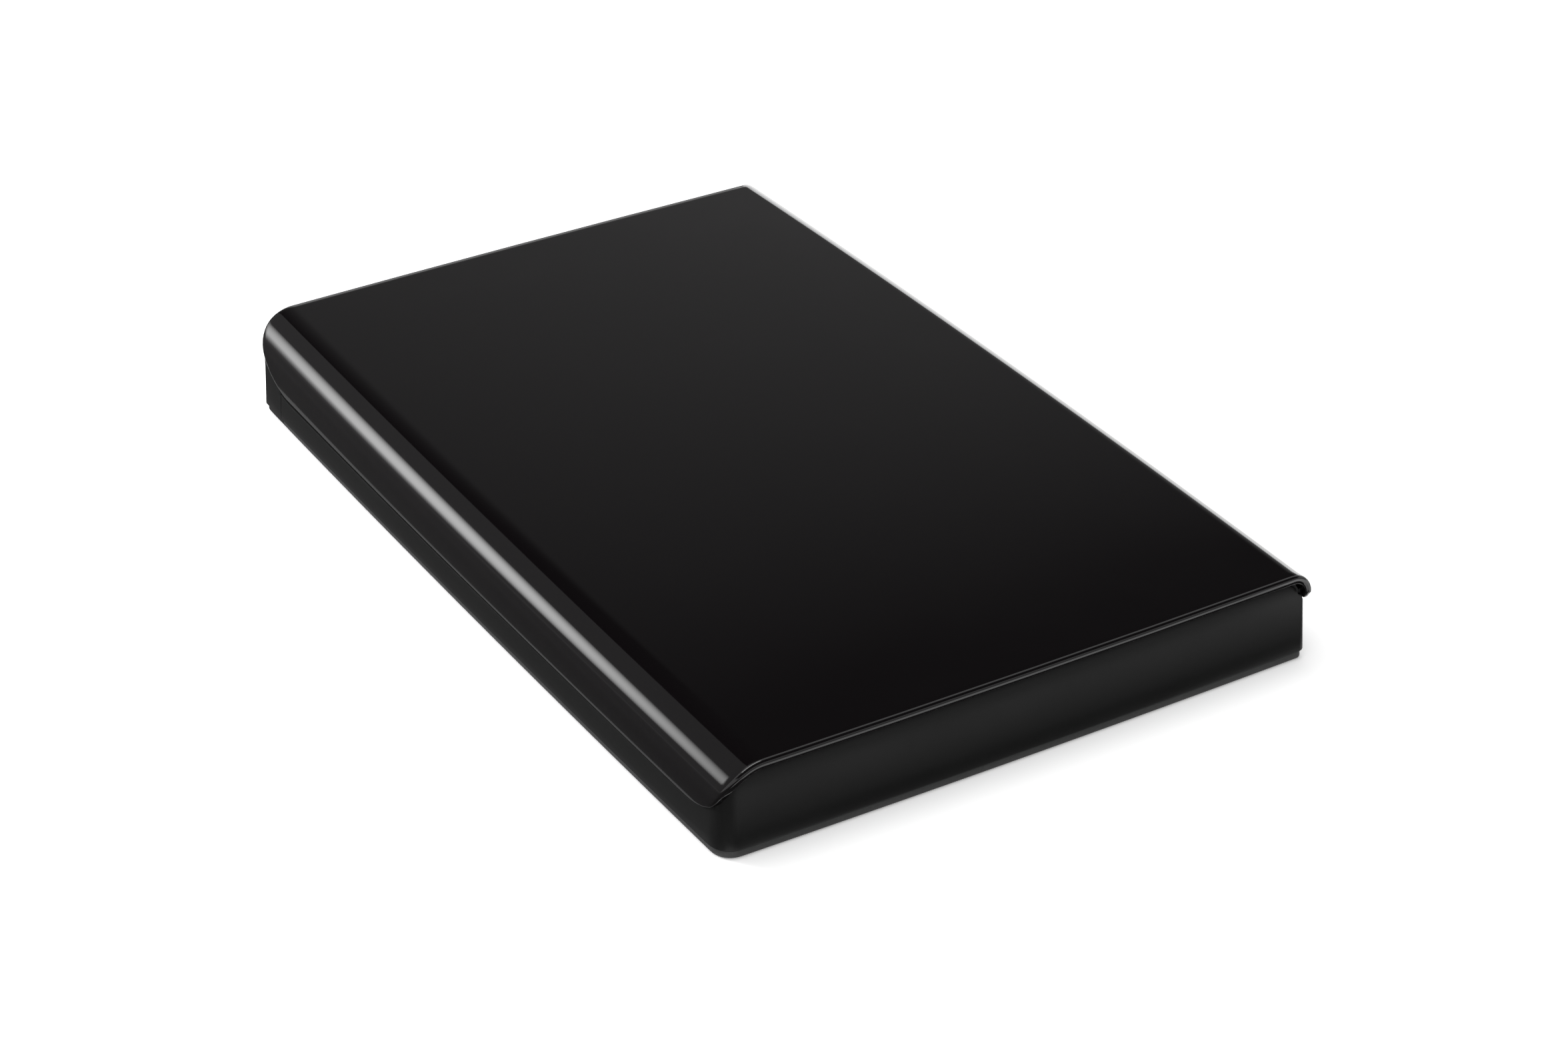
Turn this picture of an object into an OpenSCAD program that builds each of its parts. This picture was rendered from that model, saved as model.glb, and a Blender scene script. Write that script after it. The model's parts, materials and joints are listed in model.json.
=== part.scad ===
// Portable solid state drive: a 2.5-inch drive and its USB bridge board in a slim moulded case.
// All sizes are in millimetres. The origin is the middle of the footprint, on the surface that
// the case rests on. +X runs across the case, +Y towards the end with the port, +Z up.

/* [Case] */
// Length over the cover's two end rims
case_l = 120; // [119.5:0.1:122]
// Width over the cover's two long edges
case_w = 75; // [74.8:0.1:76]
// Height at the plain front end
front_h = 11.4; // [11.2:0.1:12]
// Height at the end with the port
rear_h = 13.4; // [12.8:0.1:14]
// How far the left side bows out at mid length
left_bow = 0.45; // [0.2:0.05:0.6]
// How far the right side bows out at mid length
right_bow = 0.8; // [0.5:0.05:0.9]
// How far each short end bows out at mid width
end_bow = 0.35; // [0.1:0.05:0.5]

/* [Top cover] */
// Thickness of the moulded cover sheet
cover_t = 1.1; // [1:0.05:1.2]
// Radius of the large roll along the left edge
roll_r = 5.3; // [4.8:0.1:5.6]
// Height of the lower edge of the skirt below the roll
skirt_z = 4.45; // [4:0.05:4.8]
// Thickness of the skirt at its lower edge
skirt_t = 0.8; // [0.7:0.05:0.9]
// Radius of the skirt's inward curve
tuck_r = 12; // [10:0.5:16]
// Radius that rounds the skirt's two end corners
skirt_corner_r = 7; // [6:0.1:7.5]
// Radius of the small roll along the right edge
edge_r = 2.6; // [2.4:0.1:2.8]
// Depth of the right lip below the top face
lip_drop = 3.8; // [3.5:0.1:4]
// Thickness of the lip at its tip
lip_t = 0.6; // [0.5:0.05:0.7]
// Radius that rounds the lip's two end corners
lip_corner_r = 1.2; // [0.8:0.1:1.5]
// Radius that rounds the end rims
rim_r = 0.4; // [0.2:0.05:0.45]

/* [Frame and end cap] */
// Radius of the two upright corners on the left
left_corner_r = 2.7; // [2.6:0.1:3]
// Radius of the two upright corners on the right
right_corner_r = 0.9; // [0.8:0.1:1.5]
// How far the end walls stand back from the cover's rims
end_inset = 0.55; // [0.4:0.05:0.8]
// Inward lean of the left side wall, per millimetre of height
left_draft = 0.085; // [0.06:0.005:0.09]
// Inward lean of the right side wall, per millimetre of height
right_draft = 0.04; // [0.03:0.002:0.05]
// Inward lean of the end walls, per millimetre of height
end_draft = 0.052; // [0.03:0.002:0.06]
// Thickness of the end walls
end_wall_t = 1.5; // [1.3:0.1:1.6]
// Half the clear width between the side walls
clear_half_w = 35.25; // [35.1:0.05:35.3]
// Distance of the seam between frame and end cap from the rear rim
seam_from_rear = 6.5; // [6:0.1:7]

/* [Base plate] */
// Thickness of the base plate
base_t = 1.15; // [1.1:0.05:1.3]
// How far the base plate stands back from the frame's lower edge
base_inset = 0.3; // [0.2:0.05:0.4]
// Radius of the base plate's lower edge
base_edge_r = 0.4; // [0.3:0.05:0.5]

/* [Port] */
// Width of the metal mouth of the USB 3 micro-B socket
port_w = 12.8; // [12.6:0.1:13]
// Height of the metal mouth
port_h = 2.9; // [2.7:0.1:3]
// Depth of the socket
port_d = 6.2; // [5.8:0.1:6.4]
// Diameter of the light pipe beside the port
pipe_d = 1.5; // [1.2:0.1:1.8]

/* [Drive] */
// Width of the 2.5-inch drive
drive_w = 69.85; // [69.6:0.05:70]
// Length of the drive
drive_l = 100.2; // [100:0.1:100.5]
// Height of the drive
drive_h = 7; // [6.8:0.1:7.2]

/* [Hidden] */
$fn = 24;
// Clearance between mating pieces, and overlap where two shapes of one piece join
fit_gap = 0.1;
bite = 0.4;

// Height of the top face at length y: the case is a shallow wedge.
function top_z(y) = (front_h + rear_h) / 2 + (rear_h - front_h) * y / case_l;
// Half the width of the case at length y on side s, and half its length at width x.
function bow(s) = s < 0 ? left_bow : right_bow;
function half_w(s, y) = case_w / 2 - bow(s) * pow(2 * y / case_l, 2);
function half_l(x) = case_l / 2 - end_bow * pow(2 * x / case_w, 2);
slope_z = (rear_h - front_h) / case_l;
function side_slope(s, y) = -8 * bow(s) * y / pow(case_l, 2);
function end_slope(x) = -8 * end_bow * x / pow(case_w, 2);
function mix(a, b, t) = a + (b - a) * t;
// How much a corner of radius r cuts back an edge at distance d from the corner.
function corner_cut(d, r) = d >= r ? 0 : r - sqrt(max(0, r * r - pow(r - d, 2)));

function flatten(lists) = [for (l = lists) each l];

// A closed solid through rings of equal count. Seen along the loft, each ring runs clockwise.
module loft(rings, first_face, last_face) {
    m = len(rings[0]);
    last = (len(rings) - 1) * m;
    polyhedron(
        points = flatten(rings),
        faces = concat(
            [for (j = [0 : len(rings) - 2]) for (i = [0 : m - 1])
                let (a = j * m + i, b = j * m + (i + 1) % m)
                each [[a, b + m, b], [a, a + m, b + m]]],
            is_undef(first_face) ? [[for (i = [0 : m - 1]) i]] : first_face,
            is_undef(last_face) ? [[for (i = [m - 1 : -1 : 0]) last + i]] : last_face),
        convexity = 8);
}

// Cover section: steps along the skirt, the roll, the flat and the small roll, and round each tip
skirt_n = 5;
roll_n = 12;
flat_n = 6;
edge_n = 6;
tip_n = 3;
line_n = skirt_n + roll_n + flat_n + edge_n + 2;
ring_n = 2 * (line_n + tip_n);

// Outer line of the cover at length y, from the skirt's edge over the top to the lip's tip.
// Each entry is [x, z, angle of the outward normal, thickness, distance from the skirt's edge,
// distance from the lip's tip]. Far from both edges the distances are simply the case's width.
function cover_line(y) =
    let (t = top_z(y), w = half_w(-1, y), right_w = half_w(1, y), centre_z = t - roll_r,
         tuck = asin((centre_z - skirt_z - skirt_t / 2) / tuck_r),
         skirt_len = tuck_r * tuck * PI / 180)
    concat(
        [for (i = [0 : skirt_n - 1])
            let (k = pow(i / skirt_n, 2), a = 180 + tuck * (1 - k))
            [-w + tuck_r + tuck_r * cos(a), centre_z + tuck_r * sin(a), a,
             mix(skirt_t, cover_t, k), skirt_len * k, case_w]],
        [for (i = [0 : roll_n])
            let (a = 180 - 90 * i / roll_n)
            [-w + roll_r + roll_r * cos(a), centre_z + roll_r * sin(a), a, cover_t,
             skirt_len + roll_r * (180 - a) * PI / 180, case_w]],
        [for (i = [1 : flat_n - 1])
            [mix(-w + roll_r, right_w - edge_r, i / flat_n), t, 90, cover_t, case_w, case_w]],
        [for (i = [0 : edge_n])
            let (k = i / edge_n, a = 90 - 90 * k)
            [right_w - edge_r + edge_r * cos(a), t - edge_r + edge_r * sin(a), a,
             mix(cover_t, lip_t, k), case_w,
             lip_drop - edge_r + edge_r * a * PI / 180]],
        [[right_w, t - lip_drop + lip_t / 2, 0, lip_t, case_w, 0]]);

// A point of the cover at depth d under entry p of the line, pushed s past the edge along the
// sheet. ring is [nominal length, share of the half length, distance from the rim].
function cover_point(p, d, s, ring) =
    let (end = half_l(p[0]) - corner_cut(p[4], skirt_corner_r)
             - corner_cut(p[5], lip_corner_r) - ring[2],
         y = ring[1] * end)
    [p[0] - d * cos(p[2]) - s * sin(p[2]), y,
     p[1] - d * sin(p[2]) + s * cos(p[2]) + slope_z * (y - ring[0])];

// One ring round the sheet: outer line, lip tip, inner line back, skirt tip. trim is the share
// of the thickness that the rim's rounding takes off each face.
function cover_ring(ring, trim) =
    let (line = cover_line(ring[0]), first = line[0], last = line[line_n - 1])
    concat(
        [for (p = line) cover_point(p, trim * p[3], 0, ring)],
        [for (i = [1 : tip_n]) let (a = 180 * i / (tip_n + 1), r = last[3] * (0.5 - trim))
            cover_point(last, last[3] / 2 - r * cos(a), -r * sin(a), ring)],
        [for (i = [line_n - 1 : -1 : 0]) cover_point(line[i], (1 - trim) * line[i][3], 0, ring)],
        [for (i = [tip_n : -1 : 1]) let (a = 180 * i / (tip_n + 1), r = first[3] * (0.5 - trim))
            cover_point(first, first[3] / 2 - r * cos(a), r * sin(a), ring)]);

// The two rims are rounded by rings that close in on the sheet's middle.
rim_n = 3;
span_n = 12;
function rim_ring(i, way) =
    let (a = 90 * (1 - i / rim_n), back = rim_r * (1 - sin(a)))
    cover_ring([way * (case_l / 2 - back), way, back], rim_r * (1 - cos(a)) / cover_t);
cover_rings = concat(
    [for (i = [0 : rim_n]) rim_ring(i, -1)],
    [for (i = [1 : span_n - 1]) let (s = 2 * i / span_n - 1)
        cover_ring([s * case_l / 2, s, rim_r], 0)],
    [for (i = [rim_n : -1 : 0]) rim_ring(i, 1)]);

// End face of the cover: strips across the sheet, and a fan over each rounded edge.
function rim_face(first) =
    let (lip = first + line_n + tip_n, skirt = lip + line_n)
    concat(
        [for (i = [0 : line_n - 2]) let (o = first + i, n = skirt - 1 - i)
            each [[o, o + 1, n - 1], [o, n - 1, n]]],
        [for (i = [0 : tip_n - 1]) [lip, lip - tip_n - 1 + i, lip - tip_n + i]],
        [for (i = [0 : tip_n - 1]) [first, skirt - 1 + i, skirt + i]]);
function turned(faces) = [for (f = faces) [f[0], f[2], f[1]]];

// Screw bosses under the cover near the port, and hooks behind the front wall
boss_x = 31;
boss_y = 48.1;
boss_r = 2.1;
lug_z = 6.6;
lug_t = 1.2;
case_bore_r = 0.75;
hook_pitch = 22;
hook_w = 6;
hook_z = 8.95;
hook_y = [-57.55, -56.85];
nib_z = [9.4, 9.8];
nib_reach = 0.5;

module top_cover() {
    color("#121213") {
        difference() {
            union() {
                loft(cover_rings, rim_face(0), turned(rim_face(ring_n * (len(cover_rings) - 1))));
                for (s = [-1, 1]) translate([s * boss_x, boss_y, lug_z + lug_t + fit_gap])
                    cylinder(r = boss_r, h = top_z(boss_y) - cover_t - lug_z - lug_t - fit_gap + bite);
            }
            for (s = [-1, 1]) translate([s * boss_x, boss_y, lug_z])
                cylinder(r = case_bore_r, h = top_z(boss_y) - cover_t - lug_z - bite);
        }
        for (s = [-1 : 1]) translate([s * hook_pitch - hook_w / 2, 0, 0]) {
            translate([0, hook_y[0], hook_z])
                cube([hook_w, hook_y[1] - hook_y[0], top_z(hook_y[0]) - cover_t - hook_z + bite]);
            translate([0, hook_y[0] - nib_reach, nib_z[0]])
                cube([hook_w, nib_reach + bite, nib_z[1] - nib_z[0]]);
        }
    }
}

// Plan outline of the walls: stations [x, y, outward normal x, outward normal y, radius].
function unit2(v) = v / norm(v);
function side_station(s, y) =
    concat([s * half_w(s, y), y], unit2([s, -side_slope(s, y)]), case_w);
function end_station(s, x) =
    concat([x, s * (half_l(x) - end_inset)], unit2([-end_slope(x), s]), case_w);
function corner_r(s) = s < 0 ? left_corner_r : right_corner_r;
function corner_x(s) = half_w(s, case_l / 2 - corner_r(s)) - corner_r(s);
function corner_y(s) = half_l(corner_x(s)) - end_inset - corner_r(s);
function corner_station(sx, sy, a) = let (r = corner_r(sx))
    [sx * (corner_x(sx) + r * cos(a)), sy * (corner_y(sx) + r * sin(a)),
     sx * cos(a), sy * sin(a), r];
// A station's point moved in by o, at height z. A corner closes no further than least_r, and
// the rest of the way its centre moves in.
least_r = 0.3;
function inward(st, o, z) =
    let (rest = max(0, o - st[4] + least_r), d = o - rest)
    [st[0] - d * st[2] - rest * sign(st[0]), st[1] - d * st[3] - rest * sign(st[1]), z];

// Stations stand closer together under the cover's two rolls and its rounded skirt corners.
end_n = 4;
roll_step_n = 4;
corner_n = 6;
roll_x = -case_w / 2 + roll_r + 0.2;
edge_x = half_w(1, case_l / 2) - edge_r;
end_x = concat([for (i = [1 : roll_step_n - 1]) mix(-corner_x(-1), roll_x, i / roll_step_n)],
               [for (i = [0 : end_n - 1]) mix(roll_x, edge_x, i / end_n)],
               [for (a = [0, 30, 60, 85]) edge_x + (edge_r - cover_t - fit_gap) * sin(a)]);
skirt_steps = [0.8, 1.8, 3.2, 5];
// From one end's corner to length y on side s: the steps by the corner, then n even parts.
function side_run(s, sy, y, n) =
    let (end = sy * corner_y(s),
         near = [for (d = s < 0 ? skirt_steps : []) if (d < abs(end - y) - 0.5) end - sy * d],
         start = len(near) > 0 ? near[len(near) - 1] : end)
    [for (q = concat(near, [for (i = [1 : n]) mix(start, y, i / n)])) side_station(s, q)];
function reversed(list) = [for (i = [len(list) - 1 : -1 : 0]) list[i]];
function end_run(s) = [for (x = s < 0 ? end_x : reversed(end_x)) end_station(s, x)];
function corner_run(sx, sy, a0) =
    [for (i = [0 : corner_n]) corner_station(sx, sy, abs(a0 - 90 * i / corner_n))];
function end_half(s, seam_y, n) = concat(
    reversed(side_run(s, s, seam_y, n)), corner_run(s, s, 0),
    end_run(s), corner_run(-s, s, 90), side_run(-s, s, seam_y, n));

// Height of the cover's underside over a point, less the fitting gap.
function roof_z(p) =
    let (t = top_z(p[1]), d = cover_t + fit_gap,
         l = roll_r - half_w(-1, p[1]) - p[0], r = p[0] - half_w(1, p[1]) + edge_r)
    l > 0 ? t - roll_r + sqrt(max(0, pow(roll_r - d, 2) - l * l))
    : r > 0 ? t - edge_r + sqrt(max(0, pow(edge_r - d, 2) - r * r))
    : t - d;
function under_roof(p) = [p[0], p[1], roof_z(p)];

// Height at which the wall, leaning in by o there, steps in behind the cover's edge.
groove_h = 0.55;
function edge_rise(p, r) = corner_cut(max(0, half_l(p[0]) - abs(p[1])), r);
function ledge_z(st, o) =
    let (p = inward(st, o, 0),
         edge = st[2] < 0 ? skirt_z + edge_rise(p, skirt_corner_r)
                          : top_z(st[1]) - lip_drop + edge_rise(p, lip_corner_r))
    pow(st[2], 2) > 0.3 ? edge - fit_gap : max(edge - fit_gap, roof_z(st) - groove_h);

// Wall section at a station, from its foot at height z0 with an edge of radius r: lower face,
// inner face, sloping top under the cover, step behind the cover's edge, outer face.
groove_t = 0.4;
left_step = 1.45;
right_step = 0.75;
function wall_section(st, z0, r) =
    let (side = pow(st[2], 2), left = st[2] < 0,
         lean = mix(end_draft, left ? left_draft : right_draft, side),
         inner = mix(end_wall_t, half_w(sign(st[2]), st[1]) - clear_half_w, side),
         step = mix(groove_t, left ? left_step : right_step, side),
         z = ledge_z(st, lean * (ledge_z(st, 0) - base_t)))
    [inward(st, r, z0), inward(st, inner, z0),
     under_roof(inward(st, inner, 0)), under_roof(inward(st, (inner + step) / 2, 0)),
     under_roof(inward(st, step, 0)), inward(st, step, z), inward(st, lean * (z - base_t), z),
     inward(st, 0, z0 + r)];

seam_y = case_l / 2 - seam_from_rear;
seam_gap = 0.12;

// Pockets that the cover's hooks and the base plate's hooks snap into
pocket_t = 0.45;
base_hook_x = [11, 20];
base_hook_w = 5;
base_nib_z = [2.3, 2.8];
wall_in_y = case_l / 2 - end_inset - end_wall_t;
module wall_pockets(s) {
    if (s < 0) for (x = [-hook_pitch, 0, hook_pitch])
        translate([x - hook_w / 2 - fit_gap, -wall_in_y - pocket_t, nib_z[0] - fit_gap])
            cube([hook_w + 2 * fit_gap, pocket_t + bite, nib_z[1] - nib_z[0] + 2 * fit_gap]);
    for (x = [-1, 1] * base_hook_x[s < 0 ? 0 : 1])
        translate([x - base_hook_w / 2 - fit_gap, s * wall_in_y - (s < 0 ? pocket_t : bite),
                   base_nib_z[0] - fit_gap])
            cube([base_hook_w + 2 * fit_gap, pocket_t + bite,
                  base_nib_z[1] - base_nib_z[0] + 2 * fit_gap]);
}

lug_half = 2.1;
frame_n = 8;
frame_foot_r = 0.16;
module frame() {
    color("#1b1b1c") difference() {
        union() {
            loft([for (st = end_half(-1, seam_y - seam_gap / 2, frame_n))
                wall_section(st, base_t, frame_foot_r)]);
            for (s = [-1, 1]) translate([s * (boss_x + clear_half_w) / 2, boss_y, lug_z + lug_t / 2])
                cube([clear_half_w - boss_x + 2 * bite, 2 * lug_half, lug_t], center = true);
            for (s = [-1, 1]) translate([s * boss_x, boss_y, lug_z])
                cylinder(r = lug_half, h = lug_t);
        }
        wall_pockets(-1);
        for (s = [-1, 1]) translate([s * boss_x, boss_y, lug_z - fit_gap])
            cylinder(r = case_bore_r + 0.3, h = lug_t + 2 * fit_gap);
    }
}

// Board level, and the port that stands on the board
board_t = 1.2;
board_top = 4.6;
port_z = board_top + port_h / 2;
cap_n = 2;
cap_foot_r = 0.35;
port_y1 = 58.7;
port_y0 = port_y1 - port_d;
port_clear = 0.15;
recess_rim = 0.9;
recess_y = 58.8;
pipe_x = -11;
pipe_z = board_top + 1.1;
pipe_fit = 0.06;
tab_x = [34.2, clear_half_w];
tab_z = [2, 6];

// The port's outline grown by c, with corners of radius c
module port_opening(c) {
    square([port_w + 2 * c, port_h], center = true);
    square([port_w, port_h + 2 * c], center = true);
    for (x = [-1, 1]) for (y = [-1, 1]) translate([x * port_w / 2, y * port_h / 2]) circle(r = c);
}
module along_y(y0, y1, z) translate([0, y1, z]) rotate([90, 0, 0])
    linear_extrude(height = y1 - y0) children();

module port_end_cap() {
    color("#1b1b1c") difference() {
        union() {
            loft([for (st = end_half(1, seam_y + seam_gap / 2, cap_n))
                wall_section(st, 0, cap_foot_r)]);
            for (s = [-1, 1]) {
                translate([s * (tab_x[0] + tab_x[1]) / 2, seam_y + 0.25, (tab_z[0] + tab_z[1]) / 2])
                    cube([tab_x[1] - tab_x[0], 6, tab_z[1] - tab_z[0]], center = true);
                translate([s * clear_half_w, seam_y + 1.8, (tab_z[0] + tab_z[1]) / 2])
                    cube([2 * bite, 2.6, tab_z[1] - tab_z[0]], center = true);
            }
        }
        wall_pockets(1);
        along_y(wall_in_y - 1, case_l / 2, port_z) port_opening(port_clear);
        along_y(recess_y, case_l / 2, port_z) port_opening(recess_rim);
        translate([pipe_x, 0, 0]) along_y(wall_in_y - 1, case_l / 2, pipe_z)
            circle(d = pipe_d + 2 * pipe_fit);
    }
}

// Base plate: outline rings with a rounded lower edge, and a narrower tongue inside the end cap
base_n = 3;
base_side_n = 3;
tongue_gap = 0.15;
tongue_r = 1.2;
function base_ring(a) =
    [for (st = concat(end_half(-1, 0, base_side_n), end_half(1, 0, base_side_n)))
        inward(st, base_inset + base_edge_r * (1 - sin(a)), base_edge_r * (1 - cos(a)))];
module base_shoulders() {
    h = base_t + 2 * fit_gap;
    rear = case_l / 2 - seam_y + seam_gap / 2;
    difference() {
        translate([-case_w / 2, seam_y - seam_gap / 2, -fit_gap]) cube([case_w, rear, h]);
        translate([0, 0, -2 * fit_gap])
            rounded_block(2 * (clear_half_w - tongue_gap), half_l(clear_half_w) - end_inset
                          - end_wall_t - tongue_gap, h + 2 * fit_gap, tongue_r);
    }
}
function without_repeats(ring) =
    [for (i = [0 : len(ring) - 1]) if (norm(ring[i] - ring[(i + 1) % len(ring)]) > 0.001) ring[i]];
drive_z = 1.8;
rib_x = [-24, -8, 8, 24];
rib_t = 1;
rib_y = [-54, 36];
board_boss_x = 29;
board_boss_y = 54.3;
post_y = 46.4;
board_bore_r = 0.7;
module base_hook(x, s) {
    y = wall_in_y - 0.7;
    translate([x - base_hook_w / 2, s < 0 ? -y - 0.45 : y, base_t - bite]) {
        cube([base_hook_w, 0.45, base_nib_z[1] - base_t + bite + 0.3]);
        translate([0, s < 0 ? -0.55 : 0.1, base_nib_z[0] - base_t + bite])
            cube([base_hook_w, 0.9, base_nib_z[1] - base_nib_z[0]]);
    }
}
module base_plate() {
    top_ring = base_ring(90);
    color("#232324") difference() {
        union() {
            difference() {
                loft(concat([for (i = [0 : base_n]) without_repeats(base_ring(90 * i / base_n))],
                            [[for (p = without_repeats(top_ring)) [p[0], p[1], base_t]]]));
                base_shoulders();
            }
            for (x = rib_x) translate([x - rib_t / 2, rib_y[0], base_t - bite])
                cube([rib_t, rib_y[1] - rib_y[0], drive_z - base_t + bite]);
            for (s = [-1, 1]) {
                translate([s * 34.7 - 0.4, -52, base_t - bite]) cube([0.8, 94, 0.55 + bite]);
                translate([s * board_boss_x, board_boss_y, base_t - bite])
                    cylinder(r = 2.2, h = board_top - board_t - base_t + bite);
                translate([s * board_boss_x, post_y, base_t - bite])
                    cylinder(r = 1.3, h = board_top - board_t - base_t + bite);
                base_hook(s * base_hook_x[0], -1);
                base_hook(s * base_hook_x[1], 1);
            }
        }
        for (s = [-1, 1]) translate([s * board_boss_x, board_boss_y, 0.45])
            cylinder(r = board_bore_r, h = board_top);
    }
}

// A pan-head screw hanging from its head's lower face at z = 0, shank upwards, with a cross slot
module screw(head_r, head_h, shank_r, shank_l) {
    difference() {
        union() {
            translate([0, 0, -head_h]) cylinder(r = head_r, h = head_h);
            translate([0, 0, -head_h / 2]) cylinder(r = shank_r, h = shank_l + head_h / 2);
        }
        for (a = [0, 90]) rotate([0, 0, a]) translate([0, 0, -head_h])
            cube([head_r * 1.2, head_r * 0.28, head_h], center = true);
    }
}
module case_screws() {
    color("#8d8f92") for (s = [-1, 1]) translate([s * boss_x, boss_y, lug_z])
        screw(1.8, 1.1, case_bore_r - 0.01, 4.4);
}
module board_screws() {
    color("#8d8f92") for (s = [-1, 1]) translate([s * board_boss_x, board_boss_y, board_top])
        rotate([180, 0, 0]) screw(1.5, 1, board_bore_r - 0.01, 3.6);
}

// 2.5-inch drive: tray, lid and screws. Its lower face is at drive_z.
drive_y = -57.2;
drive_wall = 1;
lid_t = 0.8;
drive_corner_r = 1.5;
plug_half_w = 20.6;
plug_depth = 4.9;
post_in = 3.4;
side_hole_r = 1.25;
module rounded_block(w, l, h, r) {
    for (x = [-1, 1]) for (y = [0, 1]) translate([x * (w / 2 - r), r + y * (l - 2 * r), 0])
        cylinder(r = r, h = h);
    translate([-w / 2 + r, 0, 0]) cube([w - 2 * r, l, h]);
    translate([-w / 2, r, 0]) cube([w, l - 2 * r, h]);
}
module at_drive_corners() {
    for (x = [-1, 1]) for (y = [post_in, drive_l - post_in])
        translate([x * (drive_w / 2 - post_in), y, 0]) children();
}
tray_h = drive_h - lid_t;
module drive_tray() {
    color("#9b9da0") translate([0, drive_y, drive_z]) difference() {
        union() {
            difference() {
                rounded_block(drive_w, drive_l, tray_h, drive_corner_r);
                translate([0, drive_wall, drive_wall])
                    rounded_block(drive_w - 2 * drive_wall, drive_l - 2 * drive_wall, tray_h, 0.6);
            }
            at_drive_corners() translate([0, 0, drive_wall - bite])
                cylinder(r = 2.2, h = tray_h - drive_wall + bite);
            for (s = [-1, 1]) for (y = [14, 14 + 76.6])
                translate([s * 61.72 / 2, y, drive_wall - bite]) cylinder(r = 2.2, h = 2.4 + bite);
        }
        at_drive_corners() translate([0, 0, tray_h - 3.6]) cylinder(r = 0.6, h = 4);
        for (s = [-1, 1]) for (y = [14, 14 + 76.6])
            translate([s * 61.72 / 2, y, -fit_gap]) cylinder(r = side_hole_r, h = 2.6);
        translate([-plug_half_w, drive_l - plug_depth, -fit_gap])
            cube([2 * plug_half_w, plug_depth + fit_gap, tray_h + 2 * fit_gap]);
    }
}
module drive_lid() {
    color("#3a3b3d") translate([0, drive_y, drive_z + tray_h]) difference() {
        rounded_block(drive_w, drive_l, lid_t, drive_corner_r);
        at_drive_corners() {
            translate([0, 0, -fit_gap]) cylinder(r = 0.75, h = lid_t + 2 * fit_gap);
            translate([0, 0, lid_t / 2]) cylinder(r = 1.6, h = lid_t);
        }
    }
}
module drive_screws() {
    color("#b0b2b5") translate([0, drive_y, drive_z + tray_h + lid_t / 2])
        at_drive_corners() rotate([180, 0, 0]) screw(1.5, lid_t / 2, 0.59, 3.2);
}

// Drive board and what it carries. Its top face is at pcb_z, its rear edge at pcb_y1.
pcb_t = 1;
pcb_z = 4.8;
pcb_w = 60;
pcb_y1 = 37;
pcb_l = 58;
pcb_notch = [3, 6.2];
module on_pcb(x, y, w, l, h) translate([x - w / 2, y - l / 2, pcb_z]) cube([w, l, h]);
module drive_board() {
    color("#1d5a3a") translate([-pcb_w / 2, pcb_y1 - pcb_l, pcb_z - pcb_t]) difference() {
        cube([pcb_w, pcb_l, pcb_t]);
        for (x = [4, pcb_w - 4]) for (y = [4, pcb_l - 10])
            translate([x, y, -fit_gap]) cylinder(r = 1.2, h = pcb_t + 2 * fit_gap);
        for (x = [-fit_gap, pcb_w - pcb_notch[0]]) translate([x, pcb_l - pcb_notch[1], -fit_gap])
            cube([pcb_notch[0] + fit_gap, pcb_notch[1] + fit_gap, pcb_t + 2 * fit_gap]);
    }
}
module drive_controller() { color("#26272a") on_pcb(0, 22, 15, 15, 1.1); }
module cache_chip() { color("#222326") on_pcb(18, 22, 9, 12, 0.9); }
flash_x = [-19, 0, 19];
flash_y = 1;
module flash_chips() {
    color("#1f2023") {
        for (x = flash_x) on_pcb(x, flash_y, 14, 18, 1);
        on_pcb(-19, 22, 14, 18, 1);
    }
}
module drive_capacitors() {
    color("#b49a78") {
        for (i = [0 : 5]) on_pcb(-10 + 4 * i, 33, 1.6, 0.8, 0.8);
        for (i = [0 : 4]) on_pcb(-28 + 14 * i, -11.5, 1.6, 0.8, 0.8);
        for (y = [17, 20, 24, 27]) on_pcb(10.5, y, 0.8, 1.6, 0.8);
    }
}
pad_top = drive_z + tray_h;
module thermal_pads() {
    color("#9fb4c4") {
        on_pad(0, 22, 13, 13, 1.1);
        for (x = flash_x) on_pad(x, flash_y, 12, 15, 1);
    }
}
module on_pad(x, y, w, l, chip_h) translate([x - w / 2, y - l / 2, pcb_z + chip_h])
    cube([w, l, pad_top - pcb_z - chip_h]);

// Serial ATA plug on the drive: two tongues, the shorter for signals and the longer for power
tongue_z = [4.7, 5.9];
tongue_y = [38.2, 42.9];
signal_x = [7.8, 18.2];
power_x = [-18.4, 3.4];
contact_pitch = 1.27;
contact_w = 0.6;
contact_t = 0.05;
plug_body_z = [3.4, 7];
module span_block(x, y, z) translate([x[0], y[0], z[0]])
    cube([x[1] - x[0], y[1] - y[0], z[1] - z[0]]);
module sata_plug() {
    color("#17181a") {
        span_block([-20, 20], [pcb_y1, tongue_y[0] + 0.1], plug_body_z);
        span_block([-19, 19], [pcb_y1 - 1.6, pcb_y1 + bite], [pcb_z, pcb_z + 1.4]);
        for (x = [signal_x, power_x]) {
            span_block(x, tongue_y, tongue_z);
            span_block([x[0], x[0] + 1.1], tongue_y, [tongue_z[0] - 1, tongue_z[1]]);
        }
        for (s = [-1, 1]) span_block([s * 19.6 - 0.4, s * 19.6 + 0.4], tongue_y, plug_body_z);
    }
}
signal_n = 7;
power_n = 15;
function contact_xs() = concat(
    [for (i = [0 : signal_n - 1]) signal_x[0] + 2 + contact_pitch * i],
    [for (i = [0 : power_n - 1]) power_x[0] + 2.6 + contact_pitch * i]);
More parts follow.
